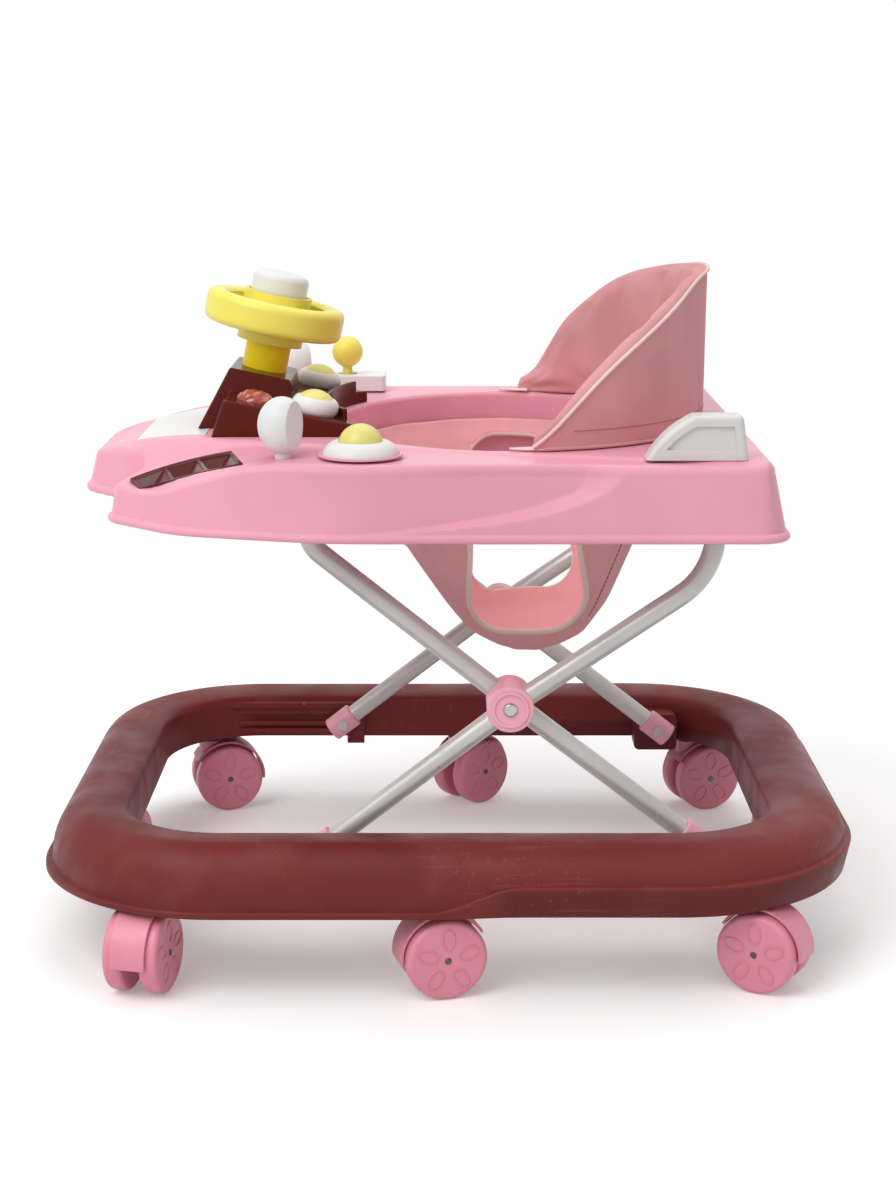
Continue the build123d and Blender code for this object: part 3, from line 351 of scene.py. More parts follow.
PINK = moulded("pink_plastic", linear(236, 166, 184), 0.3, 0.03, speck=0.0, peel=160.0, uneven=0.015,
               specular_ior_level=0.12, coat_weight=0.02, coat_roughness=0.16)
CASTER = moulded("caster_pink", linear(234, 146, 163), 0.4, 0.15, 0.15, linear(240, 170, 185), 0.8,
                 subsurface_weight=0.05, subsurface_scale=0.003)
HUB_PINK = moulded("hub_pink", linear(248, 178, 194), 0.36, 0.1, 0.1, edge_mm=0.8)
BROWN = ring_finish()
CONSOLE = moulded("dark_brown_gloss", linear(92, 34, 27), 0.17, 0.03, 0.06, linear(140, 80, 72), 2.4,
                  specular_ior_level=0.07)
VENT = moulded("vent_gloss", linear(88, 26, 22), 0.16, 0.03, specular_ior_level=0.22, coat_weight=0.06,
               coat_roughness=0.06)
WHITE = moulded("white_plastic", linear(233, 233, 232), 0.3, 0.04, edge_mm=1.0, speck=0.02, uneven=0.03,
                specular_ior_level=0.2, coat_weight=0.03, coat_roughness=0.15)
GREY = moulded("pale_grey_plastic", linear(218, 216, 215), 0.36, 0.1, edge_mm=1.4)
YELLOW = moulded("yellow_plastic", linear(238, 226, 96), 0.34, 0.06, edge_mm=1.0,
                 subsurface_weight=0.06, subsurface_scale=0.004)
AMBER_YELLOW = moulded("deep_yellow_plastic", linear(255, 222, 6), 0.36, 0.06, specular_ior_level=0.3)
PALE_YELLOW = moulded("pale_yellow_plastic", linear(230, 221, 128), 0.34, 0.06)
LENS = moulded("orange_lens", linear(172, 58, 10), 0.1, 0.05, coat_weight=0.8, coat_roughness=0.04)
BOARD = moulded("board_green", linear(46, 98, 62), 0.5, 0.1)
BLACK = moulded("black_plastic", linear(34, 32, 33), 0.45, 0.12)
TUBE = painted_tube()
STEEL = steel("steel", 150, 205)
AXLE_STEEL = steel("axle_steel", 66, 118)
CLOTH = fabric("pink_cloth", linear(220, 157, 160), 1.3, 0.35)
# Painted light: the sling's cloth is the back's pink cloth made lighter, offsetting the shade it hangs in
# under the tray
SLING_CLOTH_PAINTED_LIGHTER = fabric("sling_cloth", linear(238, 172, 175), 1.3, 0.35)
SEAM = fabric("seam_thread", linear(176, 114, 117), 0.8, 0.2)
PIPING = fabric("piping_cloth", linear(240, 214, 208), 0.9, 0.3)

MATERIAL_OF = {
    "foot_tracks": BROWN, "hinge_brackets": BROWN,
    "inner_leg_tube": TUBE, "outer_leg_tube": TUBE,
    "inner_leg_feet": HUB_PINK, "outer_leg_feet": HUB_PINK, "inner_hubs": HUB_PINK, "outer_hubs": HUB_PINK,
    "inner_foot_pins": STEEL, "outer_foot_pins": STEEL, "hub_rivets": STEEL,
    "hood_panel": WHITE, "tail_fins": GREY, "pivot_brackets": PINK, "height_racks": PINK,
    "console_body": CONSOLE, "sound_board": BOARD, "speaker": BLACK,
    "button_rings": WHITE, "button_left": PALE_YELLOW, "button_right": PALE_YELLOW,
    "dome_base": WHITE, "dome_button": PALE_YELLOW, "steering_column": AMBER_YELLOW, "steering_wheel": YELLOW,
    "horn_button": WHITE, "shifter_base": WHITE, "shifter_lever": YELLOW,
    "mirror_left": WHITE, "mirror_right": WHITE,
}
for name, node in nodes.items():
    if name.startswith("caster"):
        MATERIAL_OF[name] = AXLE_STEEL if name.endswith("axle") else CASTER
    if name in MATERIAL_OF:
        node.data.materials.clear()
        node.data.materials.append(MATERIAL_OF[name])

# Base ring: an open-bottomed shell whose lower skirt steps out round the rear half
SKIRT_STEP, SKIRT_TUCK = 5.6, 5.0
FRONT_CREASE_Z, REAR_CREASE_Z = 73, 93
CREASE_FROM_X, CREASE_TO_X = -14, 56
INNER_LIP_Z, INNER_FLAT_Z = 76, (105, 90, 77)
RING_POINTS = 440
# Rounded top of the inner wall, outside and inside, as distance back from its face and drop below the crest
OUTER_SHOULDER = ((22, 0.4), (12, 1.4), (6, 2.8), (2.4, 5.2), (0.6, 8.4))
INNER_SHOULDER = ((3.8, 9.4), (5.5, 7.2), (8.5, 5.6), (14, 4.4), (22, 3.4))
# Section of a caster socket, as radius and height
SOCKET = ((9.5, 69.4), (10.1, 68.4), (9.8, 67.5), (5.4, 67.5), (4.7, 68.2), (4.7, 106), (9.5, 114))


def ring_arc(step, foot_z, top_z, turns):
    """Quarter ellipse from the skirt to the crest."""
    return [(RING_CREST_INSET - (RING_CREST_INSET - step) * math.cos(a),
             foot_z + (top_z - foot_z) * math.sin(a)) for a in turns]


def ring_profile(crease_z):
    """Closed section of the ring, as inset and height."""
    foot_z = crease_z + 1.4
    under = SKIRT_TUCK * (crease_z - FRONT_CREASE_Z) / (REAR_CREASE_Z - FRONT_CREASE_Z)
    skirt = [(under + 0.8, RING_LIP_Z), (under, RING_LIP_Z + 0.8), (under * 0.9, RING_LIP_Z + 2)]
    crease = ((0, -2.4), (0.25, -1.1), (0.9, -0.3), (2.0, 0.05), (4.4, 0.2), (5.3, 0.6))
    outside = skirt + [(inset, crease_z + rise) for inset, rise in crease]
    outside += ring_arc(SKIRT_STEP, foot_z, RING_CREST_Z, np.linspace(0, math.pi / 2, 15))
    outside += [(RING_WIDTH - back, RING_CREST_Z - drop) for back, drop in OUTER_SHOULDER]
    outside += [(RING_WIDTH, z) for z in INNER_FLAT_Z] + [(RING_WIDTH - 0.6, INNER_LIP_Z)]
    inside = [(RING_WIDTH - 2.4, INNER_LIP_Z)] + [(RING_WIDTH - RING_WALL, z) for z in INNER_FLAT_Z[::-1]]
    inside += [(RING_WIDTH - back, RING_CREST_Z - drop) for back, drop in INNER_SHOULDER]
    inside += ring_arc(SKIRT_STEP + RING_WALL, foot_z - 1, RING_CREST_Z - RING_WALL,
                       np.linspace(math.pi / 2, 0, 12))
    inside += [(RING_WALL, crease_z - 2), (under + RING_WALL, RING_LIP_Z + 0.8)]
    return outside + inside + [(under + RING_WALL - 0.8, RING_LIP_Z)]


def base_ring():
    corners = [(-RING_HALF_LENGTH, -RING_HALF_WIDTH), (RING_HALF_LENGTH, -RING_HALF_WIDTH),
               (RING_HALF_LENGTH, RING_HALF_WIDTH), (-RING_HALF_LENGTH, RING_HALF_WIDTH)]
    line = resample(rounded_path(corners, [RING_CORNER] * 4), RING_POINTS)
    points = []
    for p, n in zip(line, inward(line)):
        rise = float(smooth(p[0], CREASE_FROM_X, CREASE_TO_X))
        profile = ring_profile(FRONT_CREASE_Z + rise * (REAR_CREASE_Z - FRONT_CREASE_Z))
        points += [(p[0] + u * n[0], p[1] + u * n[1], z) for u, z in profile]
    shell = points, grid_faces(len(line), len(profile), True, True)
    casters = [name.removesuffix("_hood") for name in nodes if name.endswith("_hood")]
    sockets = []
    for caster in casters:
        swivel = next(j for j in frame["joints"] if j["child"] == caster and j["name"].endswith("swivel"))
        sockets.append(lathe(SOCKET, [c / MM for c in swivel["pos_m"][:2]]))
    return mesh_piece("base_ring_shell", *joined(shell, *sockets), BROWN)


ring = base_ring()
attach(ring, "base")
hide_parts("base_ring")

# Tray: one moulded skin from the rim bead over the deck and down the seat opening
# Corners of its right half in plan, which the left half mirrors, and their radii
TRAY_CORNERS = [(252, 245), (-90, 245), (-205, 212), (-266, 153),
                (-252, 112), (-244, 101), (-262, 92), (-294, 56)]
TRAY_RADII = [24, 200, 90, 28, 38, 5, 38, 38]
TRAY_WALL = 3.2
# Bead round the rim, as inset and height above the rim
RIM_BEAD = ((0.9, 0), (0.0, 0.6), (-0.6, 2.0), (-0.6, 3.8), (0.2, 5.2), (1.6, 6.0), (2.6, 6.6))
WALL_INSET, WALL_FOOT = 2.8, 7.2
WALL_LEAN, REAR_LEAN, NOSE_LEAN = 8, 4, 6
CREST_INSET, TOP_ROUND, FENDER_ROUND_CUT, MOUTH_LIP = 12, 8.0, 2.5, 4.0
TRAY_POINTS, WALL_RINGS, DECK_RINGS, EASED_RINGS = 1300, 32, 46, 4
# Where the nose's rim, the fenders' tighter edge and their roll set in
NOSE_BLEND_X, NOSE_BLEND_Y, NOSE_SWEEP = (-240, -218), (97, 104), 0.25
FENDER_BLEND_X, FENDER_BLEND_Y, ROLL_BLEND_Y = (-170, -100), (130, 160), (150, 165)
# Side panel: the lines, as x and z, between which its swept ledge runs back
SWOOSH_DEPTH, SWOOSH_FADE_X, FLAT_SIDE = 6.0, (-70, 25), 0.97
SWOOSH_REAR = [(-75, 354), (-40, 356.5), (-8, 359.4), (33.4, 363.7),
               (66.8, 368.9), (95.8, 377.5), (116.6, 386.8), (131, 400.6)]
SWOOSH_FRONT = [(-90, 355), (-56, 358), (-24.7, 360.5), (13, 365.7), (50, 372.3),
                (74.7, 379.7), (93.6, 387), (98.7, 393.2), (101, 400)]


def fall(x, start, radius):
    """Height of the deck where it bends down to the front."""
    run = np.clip(start - np.asarray(x, float), 0, None)
    return DECK_Z - radius + np.sqrt(radius**2 - run**2)


def roll_slope(x):
    """How steeply a fender's top falls to the outside, most at its tip."""
    at_tip = 1 - smooth(x, TIP_X, TIP_END_X)
    return (ROLL_SLOPE + TIP_SLOPE * at_tip) * (1 - smooth(x, ROLL_FULL_X, ROLL_END_X))


def fender_height(x, y):
    """Top of a fender, which falls to the front and rolls off to the outside."""
    outside = np.clip(np.abs(y) - ROLL_FROM_Y, 0, None)
    return fall(x, FENDER_FALL_X, FENDER_FALL_R) - roll_slope(x) * outside


def deck_height(x, y):
    """Top of the tray: the fenders fall to the front, and the nose stands above them."""
    fender = fender_height(x, y)
    nose = fall(x, NOSE_FALL_X, NOSE_FALL_R)
    inside = (NOSE_REAR_HALF + (x - NOSE_REAR_X) * NOSE_TAPER - np.abs(y)) * NOSE_TAPER_COS
    side = fender + NOSE_SIDE_RISE * np.clip(inside + NOSE_SIDE_FOOT, 0, None)
    half = np.interp(x, [PANEL_FRONT[0], PANEL_REAR[0]], [PANEL_FRONT[1], PANEL_REAR[1]])
    pocket = (x > PANEL_FRONT[0]) & (x < PANEL_REAR[0]) & (np.abs(y) < half)
    return soft_min(np.maximum(side, fender), nose, NOSE_EDGE_ROUND) - PANEL_SINK * pocket


def swoosh_depth(x, z):
    """How far the side panel stands back above the swept ledge."""
    rear = np.interp(z, [p[1] for p in SWOOSH_REAR], [p[0] for p in SWOOSH_REAR], left=-400)
    front = np.interp(z, [p[1] for p in SWOOSH_FRONT], [p[0] for p in SWOOSH_FRONT], left=-420)
    back = np.clip((rear - x) / np.maximum(rear - front, 0.5), 0, 1)
    return SWOOSH_DEPTH * back * smooth(x, *SWOOSH_FADE_X)


def tray_skin():
    corners = TRAY_CORNERS + [(x, -y) for x, y in reversed(TRAY_CORNERS)]
    line = resample(rounded_path(corners, TRAY_RADII + TRAY_RADII[::-1]), TRAY_POINTS)
    normal = inward(line)
    x, y = line[:, 0], line[:, 1]
    ones = np.ones(len(line))
    off_side = np.abs(y)
    on_nose = (1 - smooth(x + off_side * NOSE_SWEEP, *NOSE_BLEND_X)) * (1 - smooth(off_side, *NOSE_BLEND_Y))
    rim = RIM_Z + (NOSE_RIM_Z - RIM_Z) * on_nose
    at_rear = smooth(-normal[:, 0], 0.3, 0.95)
    lean = np.tan(np.radians(WALL_LEAN + REAR_LEAN * at_rear + NOSE_LEAN * on_nose))
    crest = deck_height(x + CREST_INSET * normal[:, 0], y + CREST_INSET * normal[:, 1])
    on_fender = (1 - smooth(x, *FENDER_BLEND_X)) * smooth(off_side, *FENDER_BLEND_Y)
    top_round = TOP_ROUND - FENDER_ROUND_CUT * on_fender
    turn_end = math.pi / 2 - np.arctan(roll_slope(x)) * smooth(off_side, *ROLL_BLEND_Y)
    flat_side = np.abs(normal[:, 1]) > FLAT_SIDE
    rings = []

    def ring_at(inset, height):
        rings.append(np.column_stack([line + normal * np.asarray(inset)[:, None], height]))

    for inset, lift in RIM_BEAD:
        ring_at(inset * ones, rim + lift)
    foot = rim + WALL_FOOT
    wall_top = crest - top_round * np.sin(turn_end)
    for k in range(WALL_RINGS + 1):
        z = foot + (wall_top - foot) * k / WALL_RINGS
        ring_at(WALL_INSET + (z - foot) * lean + swoosh_depth(x, z) * flat_side, z)
    base = WALL_INSET + (wall_top - foot) * lean
    ledge = swoosh_depth(x, wall_top) * flat_side
    for share in np.linspace(0, 1, 8)[1:]:
        a = turn_end * share
        fade = ledge * (1 - share) ** 0.8
        ring_at(base + fade + top_round * (1 - np.cos(a)), wall_top + top_round * np.sin(a))
    inner = line + normal * (base + top_round * (1 - np.cos(turn_end)))[:, None]
    turn = np.arctan2(inner[:, 1] / OPENING_Y, (inner[:, 0] - HUB_X) / OPENING_X)
    mouth = np.column_stack([HUB_X + OPENING_X * np.cos(turn), OPENING_Y * np.sin(turn)])
    centre = np.array([HUB_X, 0])
    out = (mouth - centre) / np.linalg.norm(mouth - centre, axis=1)[:, None]
    edge = mouth + out * MOUTH_LIP
    for k in range(1, DECK_RINGS + 1):
        at = inner + (edge - inner) * k / DECK_RINGS
        flat = deck_height(at[:, 0], at[:, 1])
        ease = smooth(k, 0, EASED_RINGS)
        height = flat * ease + (1 - ease) * np.minimum(flat, crest + 0.4)
        rings.append(np.column_stack([at, height]))
    for a in np.linspace(0, math.pi / 2, 6)[1:]:
        height = DECK_Z - MOUTH_LIP * (1 - math.cos(a))
        rings.append(np.column_stack([edge - out * MOUTH_LIP * math.sin(a), height * ones]))
    for z in np.linspace(DECK_Z - MOUTH_LIP, RIM_Z, 8)[1:]:
        rings.append(np.column_stack([mouth, z * ones]))
    faces = grid_faces(len(rings), len(line), False, True)
    return mesh_piece("tray_skin", np.concatenate(rings), faces, PINK)


# Faces that a window can cut lie this near its middle and above this height, in metres
WINDOW_REACH, WINDOW_ABOVE = 0.09, 0.372


def cut_window(piece, outline):
    """Opens straight-edged holes in the skin, on both sides, where an outline in plan lies."""
    work = bmesh.new()
    work.from_mesh(piece.data)
    for mirrored in (1, -1):
        corners = [Vector((x * MM, mirrored * y * MM, 0)) for x, y in outline]
        middle = sum(corners, Vector()) / len(corners)
        planes = []
        for k, a in enumerate(corners):
            b = corners[(k + 1) % len(corners)]
            across = (b - a).cross(Vector((0, 0, 1))).normalized()
            planes.append((a, across if (middle - a).dot(across) < 0 else -across))
        for co, no in planes:
            near = [f for f in work.faces if (f.calc_center_median() - middle).xy.length < WINDOW_REACH
                    and f.calc_center_median().z > WINDOW_ABOVE]
            geometry = list({e for f in near for e in [*f.verts, *f.edges]}) + near
            bmesh.ops.bisect_plane(work, geom=geometry, dist=1e-6, plane_co=co, plane_no=no)
        inside = [f for f in work.faces if f.calc_center_median().z > WINDOW_ABOVE
                  and all((f.calc_center_median() - co).dot(no) < 0 for co, no in planes)]
        bmesh.ops.delete(work, geom=inside, context="FACES")
    work.to_mesh(piece.data)
    work.free()


tray = tray_skin()
cut_window(tray, STRIP)
shell = tray.modifiers.new("wall", "SOLIDIFY")
shell.thickness = TRAY_WALL * MM
shell.offset = -1
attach(tray, "tray")
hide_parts("tray_shell")

# Headlight vents: a raised frame with three cells, each with a sloping four-sided floor
VENT_LENGTH, VENT_WIDTH, VENT_CELLS = 80.0, 32.0, 3
VENT_PROUD, VENT_FRAME, VENT_BAR, VENT_RIM, VENT_DEPTH, VENT_SKIRT = 0.7, 2.4, 2.2, 1.2, 9.0, 3.5
VENT_TIP = 0.36, 0.45


def vent_point(s, t, drop, mirrored):
    """Point at a share s from front to rear and t from the inner to the outer edge."""
    front_in, rear_in, rear_out, front_out = (np.array(p, float) for p in STRIP)
    p = (front_in + (rear_in - front_in) * s) * (1 - t) + (front_out + (rear_out - front_out) * s) * t
    return (p[0], mirrored * p[1], float(fender_height(p[0], p[1])) - drop)


def vent_cell(at, s0, s1, t0, t1):
    """A cell's upright rim and its four sloping sides."""
    around = ((s0, t0), (s1, t0), (s1, t1), (s0, t1))
    tip = at(s0 + (s1 - s0) * VENT_TIP[0], t0 + (t1 - t0) * VENT_TIP[1], VENT_DEPTH)
    points = [at(s, t, -VENT_PROUD) for s, t in around] + [at(s, t, VENT_RIM) for s, t in around] + [tip]
    faces = [(a, (a + 1) % 4, (a + 1) % 4 + 4, a + 4) for a in range(4)]
    return points, faces + [(a + 4, (a + 1) % 4 + 4, 8) for a in range(4)]


def headlight_vents():
    grids = []
    edge_s, edge_t, bar = VENT_FRAME / VENT_LENGTH, VENT_FRAME / VENT_WIDTH, VENT_BAR / VENT_LENGTH
    cell = (1 - 2 * edge_s - (VENT_CELLS - 1) * bar) / VENT_CELLS
    stops = [0, edge_s]
    for _ in range(VENT_CELLS):
        stops += [stops[-1] + cell, stops[-1] + cell + bar]
    stops[-1] = 1
    across = (0, edge_t, 1 - edge_t, 1)
    for mirrored in (1, -1):
        def at(s, t, drop, mirrored=mirrored):
            return vent_point(s, t, drop, mirrored)

        for k in range(len(stops) - 1):
            fore, aft = ([at(s, t, -VENT_PROUD) for t in across] for s in stops[k:k + 2])
            for j in range(3):
                if k % 2 == 1 and j == 1:
                    grids.append(vent_cell(at, stops[k], stops[k + 1], edge_t, 1 - edge_t))
                else:
                    grids.append(([fore[j], fore[j + 1], aft[j + 1], aft[j]], [(0, 1, 2, 3)]))
        corners = ((0, 0), (1, 0), (1, 1), (0, 1), (0, 0))
        for (s0, t0), (s1, t1) in zip(corners, corners[1:]):
            run = np.linspace(0, 1, 9)
            top = [at(s0 + (s1 - s0) * r, t0 + (t1 - t0) * r, -VENT_PROUD) for r in run]
            low = [(x, y, z - VENT_SKIRT) for x, y, z in top]
            grids.append((top + low, grid_faces(2, len(run), False, False)))
    piece = mesh_piece("headlight_vents", *joined(*grids), VENT, sharp=12)
    weld = bmesh.new()
    weld.from_mesh(piece.data)
    bmesh.ops.remove_doubles(weld, verts=weld.verts, dist=0.02 * MM)
    weld.to_mesh(piece.data)
    weld.free()
    return piece


vents = headlight_vents()
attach(vents, "tray")
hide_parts("headlight_strips")

# Side lenses: half-egg crystals with many small facets
LENS_X, LENS_Y, LENS_Z, LENS_HALF, LENS_RISE, TIER_SLOPE = -153, 78, 432.66, 15, 9, math.radians(10.68)
LENS_CUT = 0.15


def facet(i, j):
    """A number from -1 to 1 that differs from point to point."""
    return math.sin(i * 12.99 + j * 78.23 + math.sin(i * 4.1 + j * 7.7) * 9)


def side_lenses():
    grids = []
    rows, columns = 13, 11
    for side in (1, -1):
        points = []
        for i in range(rows):
            along = math.pi * i / (rows - 1)
            for j in range(columns):
                turn = math.pi * j / (columns - 1)
                cut = 1 + LENS_CUT * facet(i, j) * math.sin(turn)
                r = LENS_RISE * math.sin(along) * cut + 0.02
                u, v, w = LENS_HALF * math.cos(along), r * math.cos(turn), r * math.sin(turn) - 0.2
                x = LENS_X + u * math.cos(TIER_SLOPE) + w * math.sin(TIER_SLOPE)
                z = LENS_Z - u * math.sin(TIER_SLOPE) + w * math.cos(TIER_SLOPE)
                points.append((x, side * LENS_Y + v, z))
        faces = []
        for a, b, c, d in grid_faces(rows, columns, False, True):
            faces += [(a, b, c), (a, c, d)]
        grids.append((points, faces))
    return mesh_piece("side_lenses", *joined(*grids), LENS, sharp=8)


lenses = side_lenses()
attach(lenses, "tray")
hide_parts("console_lenses")

# Gasket under the dome's base, as radius and height
DOME_CENTRE = -65, -197
GASKET = ((29.2, 408.1), (31.6, 408.1), (31.6, 409.3), (30.6, 410), (29.2, 409.8))
gasket = mesh_piece("dome_gasket", *lathe(GASKET, DOME_CENTRE, 64), PINK)
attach(gasket, "tray")


# Soft seat: a back swelled by a short cloth run, a hanging sling, and their trims
CLOTH_RADIUS = 150
PUFF_FRAMES, PUFF_STIFFNESS, PUFF_BENDING = 20, 18, 0.6
PUFF_PRESSURE, PUFF_CAP, HELD_BELOW_Z = 4.0, 5.0, DECK_Z + 5


def thread_map(piece):
    """Marks each point with its place along the cloth, in millimetres, for the weave."""
    co = np.array([v.co for v in piece.data.vertices]) / MM
    around = np.arctan2(co[:, 1], co[:, 0] - HUB_X) * CLOTH_RADIUS
    layer = piece.data.attributes.new("thread", "FLOAT_VECTOR", "POINT")
    layer.data.foreach_set("vector", np.column_stack([around, co[:, 2], co[:, 0]]).astype(np.float32).ravel())


def puffed(piece, pressure, cap_mm, held):
    """Swells a closed cloth form with a short cloth run; held gives how firmly a point stays."""
    rest = np.array([v.co for v in piece.data.vertices])
    group = piece.vertex_groups.new(name="held")
    for k, weight in enumerate(held(rest / MM)):
        group.add([k], float(weight), "REPLACE")
    cloth = piece.modifiers.new("swell", "CLOTH")
    cloth.settings.quality = 6
    cloth.settings.tension_stiffness = PUFF_STIFFNESS
    cloth.settings.compression_stiffness = PUFF_STIFFNESS
    cloth.settings.bending_stiffness = PUFF_BENDING
    cloth.settings.use_pressure = True
    cloth.settings.uniform_pressure_force = pressure
    cloth.settings.effector_weights.gravity = 0
    cloth.settings.vertex_group_mass = "held"
    cloth.point_cache.frame_start, cloth.point_cache.frame_end = 1, PUFF_FRAMES
    scene = bpy.context.scene
    for step in range(1, PUFF_FRAMES + 1):
        scene.frame_set(step)
    graph = bpy.context.evaluated_depsgraph_get()
    moved = np.array([v.co for v in piece.evaluated_get(graph).data.vertices])
    piece.modifiers.clear()
    scene.frame_set(1)
    shift = moved - rest
    size = np.linalg.norm(shift, axis=1)[:, None]
    rest = rest + shift * np.minimum(1, cap_mm * MM / np.maximum(size, 1e-9))
    piece.data.vertices.foreach_set("co", rest.astype(np.float32).ravel())


BACK_EDGE = [(64, 407), (85, 430), (116, 462), (140, 482), (171, 505), (200, 530), (212, 534)]
BACK_END = math.acos((BACK_EDGE[0][0] - HUB_X) / BACK_X)
BACK_ROWS, BACK_GAP = 22, 0.4
# How much higher the photo shows the far side's outer edge and inner face
FAR_EDGE_LIFT, FAR_INNER_LIFT = 8, 14


def back_top(turn):
    """Height of the back's outer edge at an angle round the seat, 0 at the rear."""
    x = HUB_X + BACK_X * np.cos(turn)
    return np.interp(x, [p[0] for p in BACK_EDGE], [p[1] for p in BACK_EDGE])


def back_point(turn, share, z):
    """Point of the back's wall, share 0 at its outer face and 1 at its inner face."""
    thick = BACK_THICK * share
    return (HUB_X + (BACK_X - thick) * math.cos(turn), (BACK_Y - thick) * math.sin(turn), z)


def seat_back():
    """The padded back, with the angles and heights of its outer edge."""
    turns = np.linspace(-BACK_END, BACK_END, 121)
    kernel = np.ones(9) / 9
    heights = np.convolve(np.pad(back_top(turns), 4, mode="edge"), kernel, mode="valid")
    far = smooth(turns, 0.35, 0.95) * (1 - smooth(turns, 1.15, BACK_END))
    edge = heights + FAR_EDGE_LIFT * far
    points = []
    low = DECK_Z + BACK_GAP
    for turn, top, high in zip(turns, edge, heights + FAR_INNER_LIFT * far):
        lift = 3 + 5 * float(smooth(abs(turn), 0.25, 0.8))
        full = 1 - 0.55 * float(smooth(abs(turn), BACK_END - 0.28, BACK_END))
        crown = high + lift
        column = [(0.1, low + (top - low) * k / BACK_ROWS) for k in range(BACK_ROWS + 1)]
        column += [(0.13, top + 0.25 * (crown - top)), (0.24 * full, top + 0.62 * (crown - top))]
        column += [(0.4 * full, top + 0.88 * (crown - top)), (0.56 * full, crown), (0.72 * full, crown - 0.5)]
        column += [(0.85 * full, crown - 2.2)]
        for k in range(BACK_ROWS - 1, -1, -1):
            z = low + (high + lift * 0.4 - low) * k / BACK_ROWS
            gathers = float(smooth(k / BACK_ROWS, 0.35, 0.95))
            fold = 0.10 * math.sin(turn * 23 + 0.7 * math.sin(turn * 5)) * gathers
            fold += 0.05 * math.sin(turn * 11 - z * 0.05)
            column.append((0.92 * full + fold * full, z))
        points += [back_point(turn, share, z) for share, z in column]
    count = len(column)
    faces = grid_faces(len(turns), count, False, True)
    faces += [tuple(range(count)), tuple(range(len(points) - count, len(points)))]
    piece = mesh_piece("seat_back_cushion", points, faces, CLOTH)
    puffed(piece, PUFF_PRESSURE, PUFF_CAP, lambda co: np.where(co[:, 2] < HELD_BELOW_Z, 1.0, 0.0))
    return piece, turns, edge


def on_surface(piece, wanted, lift_mm):
    """Points moved onto a piece's surface, standing proud of it."""
    work = bmesh.new()
    work.from_mesh(piece.data)
    tree = BVHTree.FromBMesh(work)
    work.free()
    found = []
    for p in wanted:
        place, normal, _, _ = tree.find_nearest(Vector(p) * MM)
        found.append(tuple((place + normal * lift_mm * MM) / MM))
    return found


def settle(path, rounds=3):
    """A line with small kinks evened out."""
    path = np.asarray(path, float)
    for _ in range(rounds):
        path[1:-1] = path[1:-1] * 0.5 + (path[:-2] + path[2:]) * 0.25
    return path


def soft_trim(name, grid, body, material):
    """A cloth trim that rides on a body."""
    piece = mesh_piece(name, *grid, material)
    thread_map(piece)
    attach(piece, body)
    return piece


def stitches(path, length, gap, radius, fineness=0.5):
    """Thread dashes along a line."""
    path = np.asarray(path, float)
    total = float(np.linalg.norm(np.diff(path, axis=0), axis=1).sum())
    fine = resample(path, max(2, int(total / fineness)), closed=False)
    dash, step = int(length / fineness), int((length + gap) / fineness)
    return joined(*[tube_grid(fine[k:k + dash + 1], radius, 6) for k in range(0, len(fine) - dash, step)])


TONGUE_INSET, TONGUE_HALF, TONGUE_Z = 8, 6.5, 1.9
TONGUE_OVERLAP, TONGUE_SWEEP = 0.06, 0.17


def seat_tongues():
    """Flat ends of the hem that lie on the deck in front of the back."""
    grids, rows, sides = [], 9, 10
    for side in (1, -1):
        points = []
        for k in range(rows):
            share = k / (rows - 1)
            turn = side * (BACK_END - TONGUE_OVERLAP + TONGUE_SWEEP * share)
            half, rise = TONGUE_HALF * (1 - share) ** 0.6 + 0.8, 1.7 - 0.8 * share
            for j in range(sides):
                a = 2 * math.pi * j / sides
                share_in = (TONGUE_INSET + half * math.cos(a)) / BACK_THICK
                points.append(back_point(turn, share_in, DECK_Z + TONGUE_Z + rise * math.sin(a)))
        faces = grid_faces(rows, sides, False, True)
        faces += [tuple(range(sides)), tuple(range(len(points) - sides, len(points)))]
        grids.append((points, faces))
    return joined(*grids)


# Trim lines of the back, as heights above the deck; the seam runs where the edge stands high enough
HEM_RISE, SEAM_RISE, SEAM_EDGE_RISE = 2.2, 15, 30
TRIM_RADIUS = 1.4
back, turns, heights = seat_back()
edge_path = [back_point(t, 0.02, z) for t, z in zip(turns, heights)]
edge_path = settle(on_surface(back, edge_path, 0.8), 6)
hem_path = [back_point(t, 0.0, DECK_Z + HEM_RISE) for t in turns[2:-2]]
hem_path = settle(on_surface(back, hem_path, 0.2), 4)
seam_turns = [t for t, z in zip(turns, heights) if z > DECK_Z + SEAM_EDGE_RISE]
seam_path = [back_point(t, 0.0, DECK_Z + SEAM_RISE) for t in seam_turns]
seam_path = settle(on_surface(back, seam_path, 0.15), 4)
thread_map(back)
back.modifiers.new("fine", "SUBSURF").render_levels = 1
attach(back, "tray")
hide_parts("seat_back")
soft_trim("seat_back_piping", tube_grid(edge_path, TRIM_RADIUS), "tray", PIPING)
soft_trim("seat_back_tongues", seat_tongues(), "tray", PIPING)
soft_trim("seat_back_hem", tube_grid(hem_path, TRIM_RADIUS), "tray", CLOTH)
soft_trim("seat_back_stitching", stitches(seam_path, 3.0, 1.2, 0.4), "tray", SEAM)

# Sling: a hanging bowl with two leg holes, gathered a little under the opening
# Its rings, as height, middle and half sizes along X and Y
SLING_RINGS = [(384, 48, 137, 168), (350, 54, 117, 146), (300, 60, 92, 116),
               (255, 66, 68, 90), (228, 67, 47, 64), (219, 67, 22, 32)]
SLING_TOP_Z, SLING_BOWL_Z, SLING_FLOOR_Z, SLING_BOTTOM_Z = 384, 240, 219, 217
SLING_THICK, LEG_HOLE_FROM_Y, HOLE_PIPING_RADIUS = 2.4, 25, 2.4
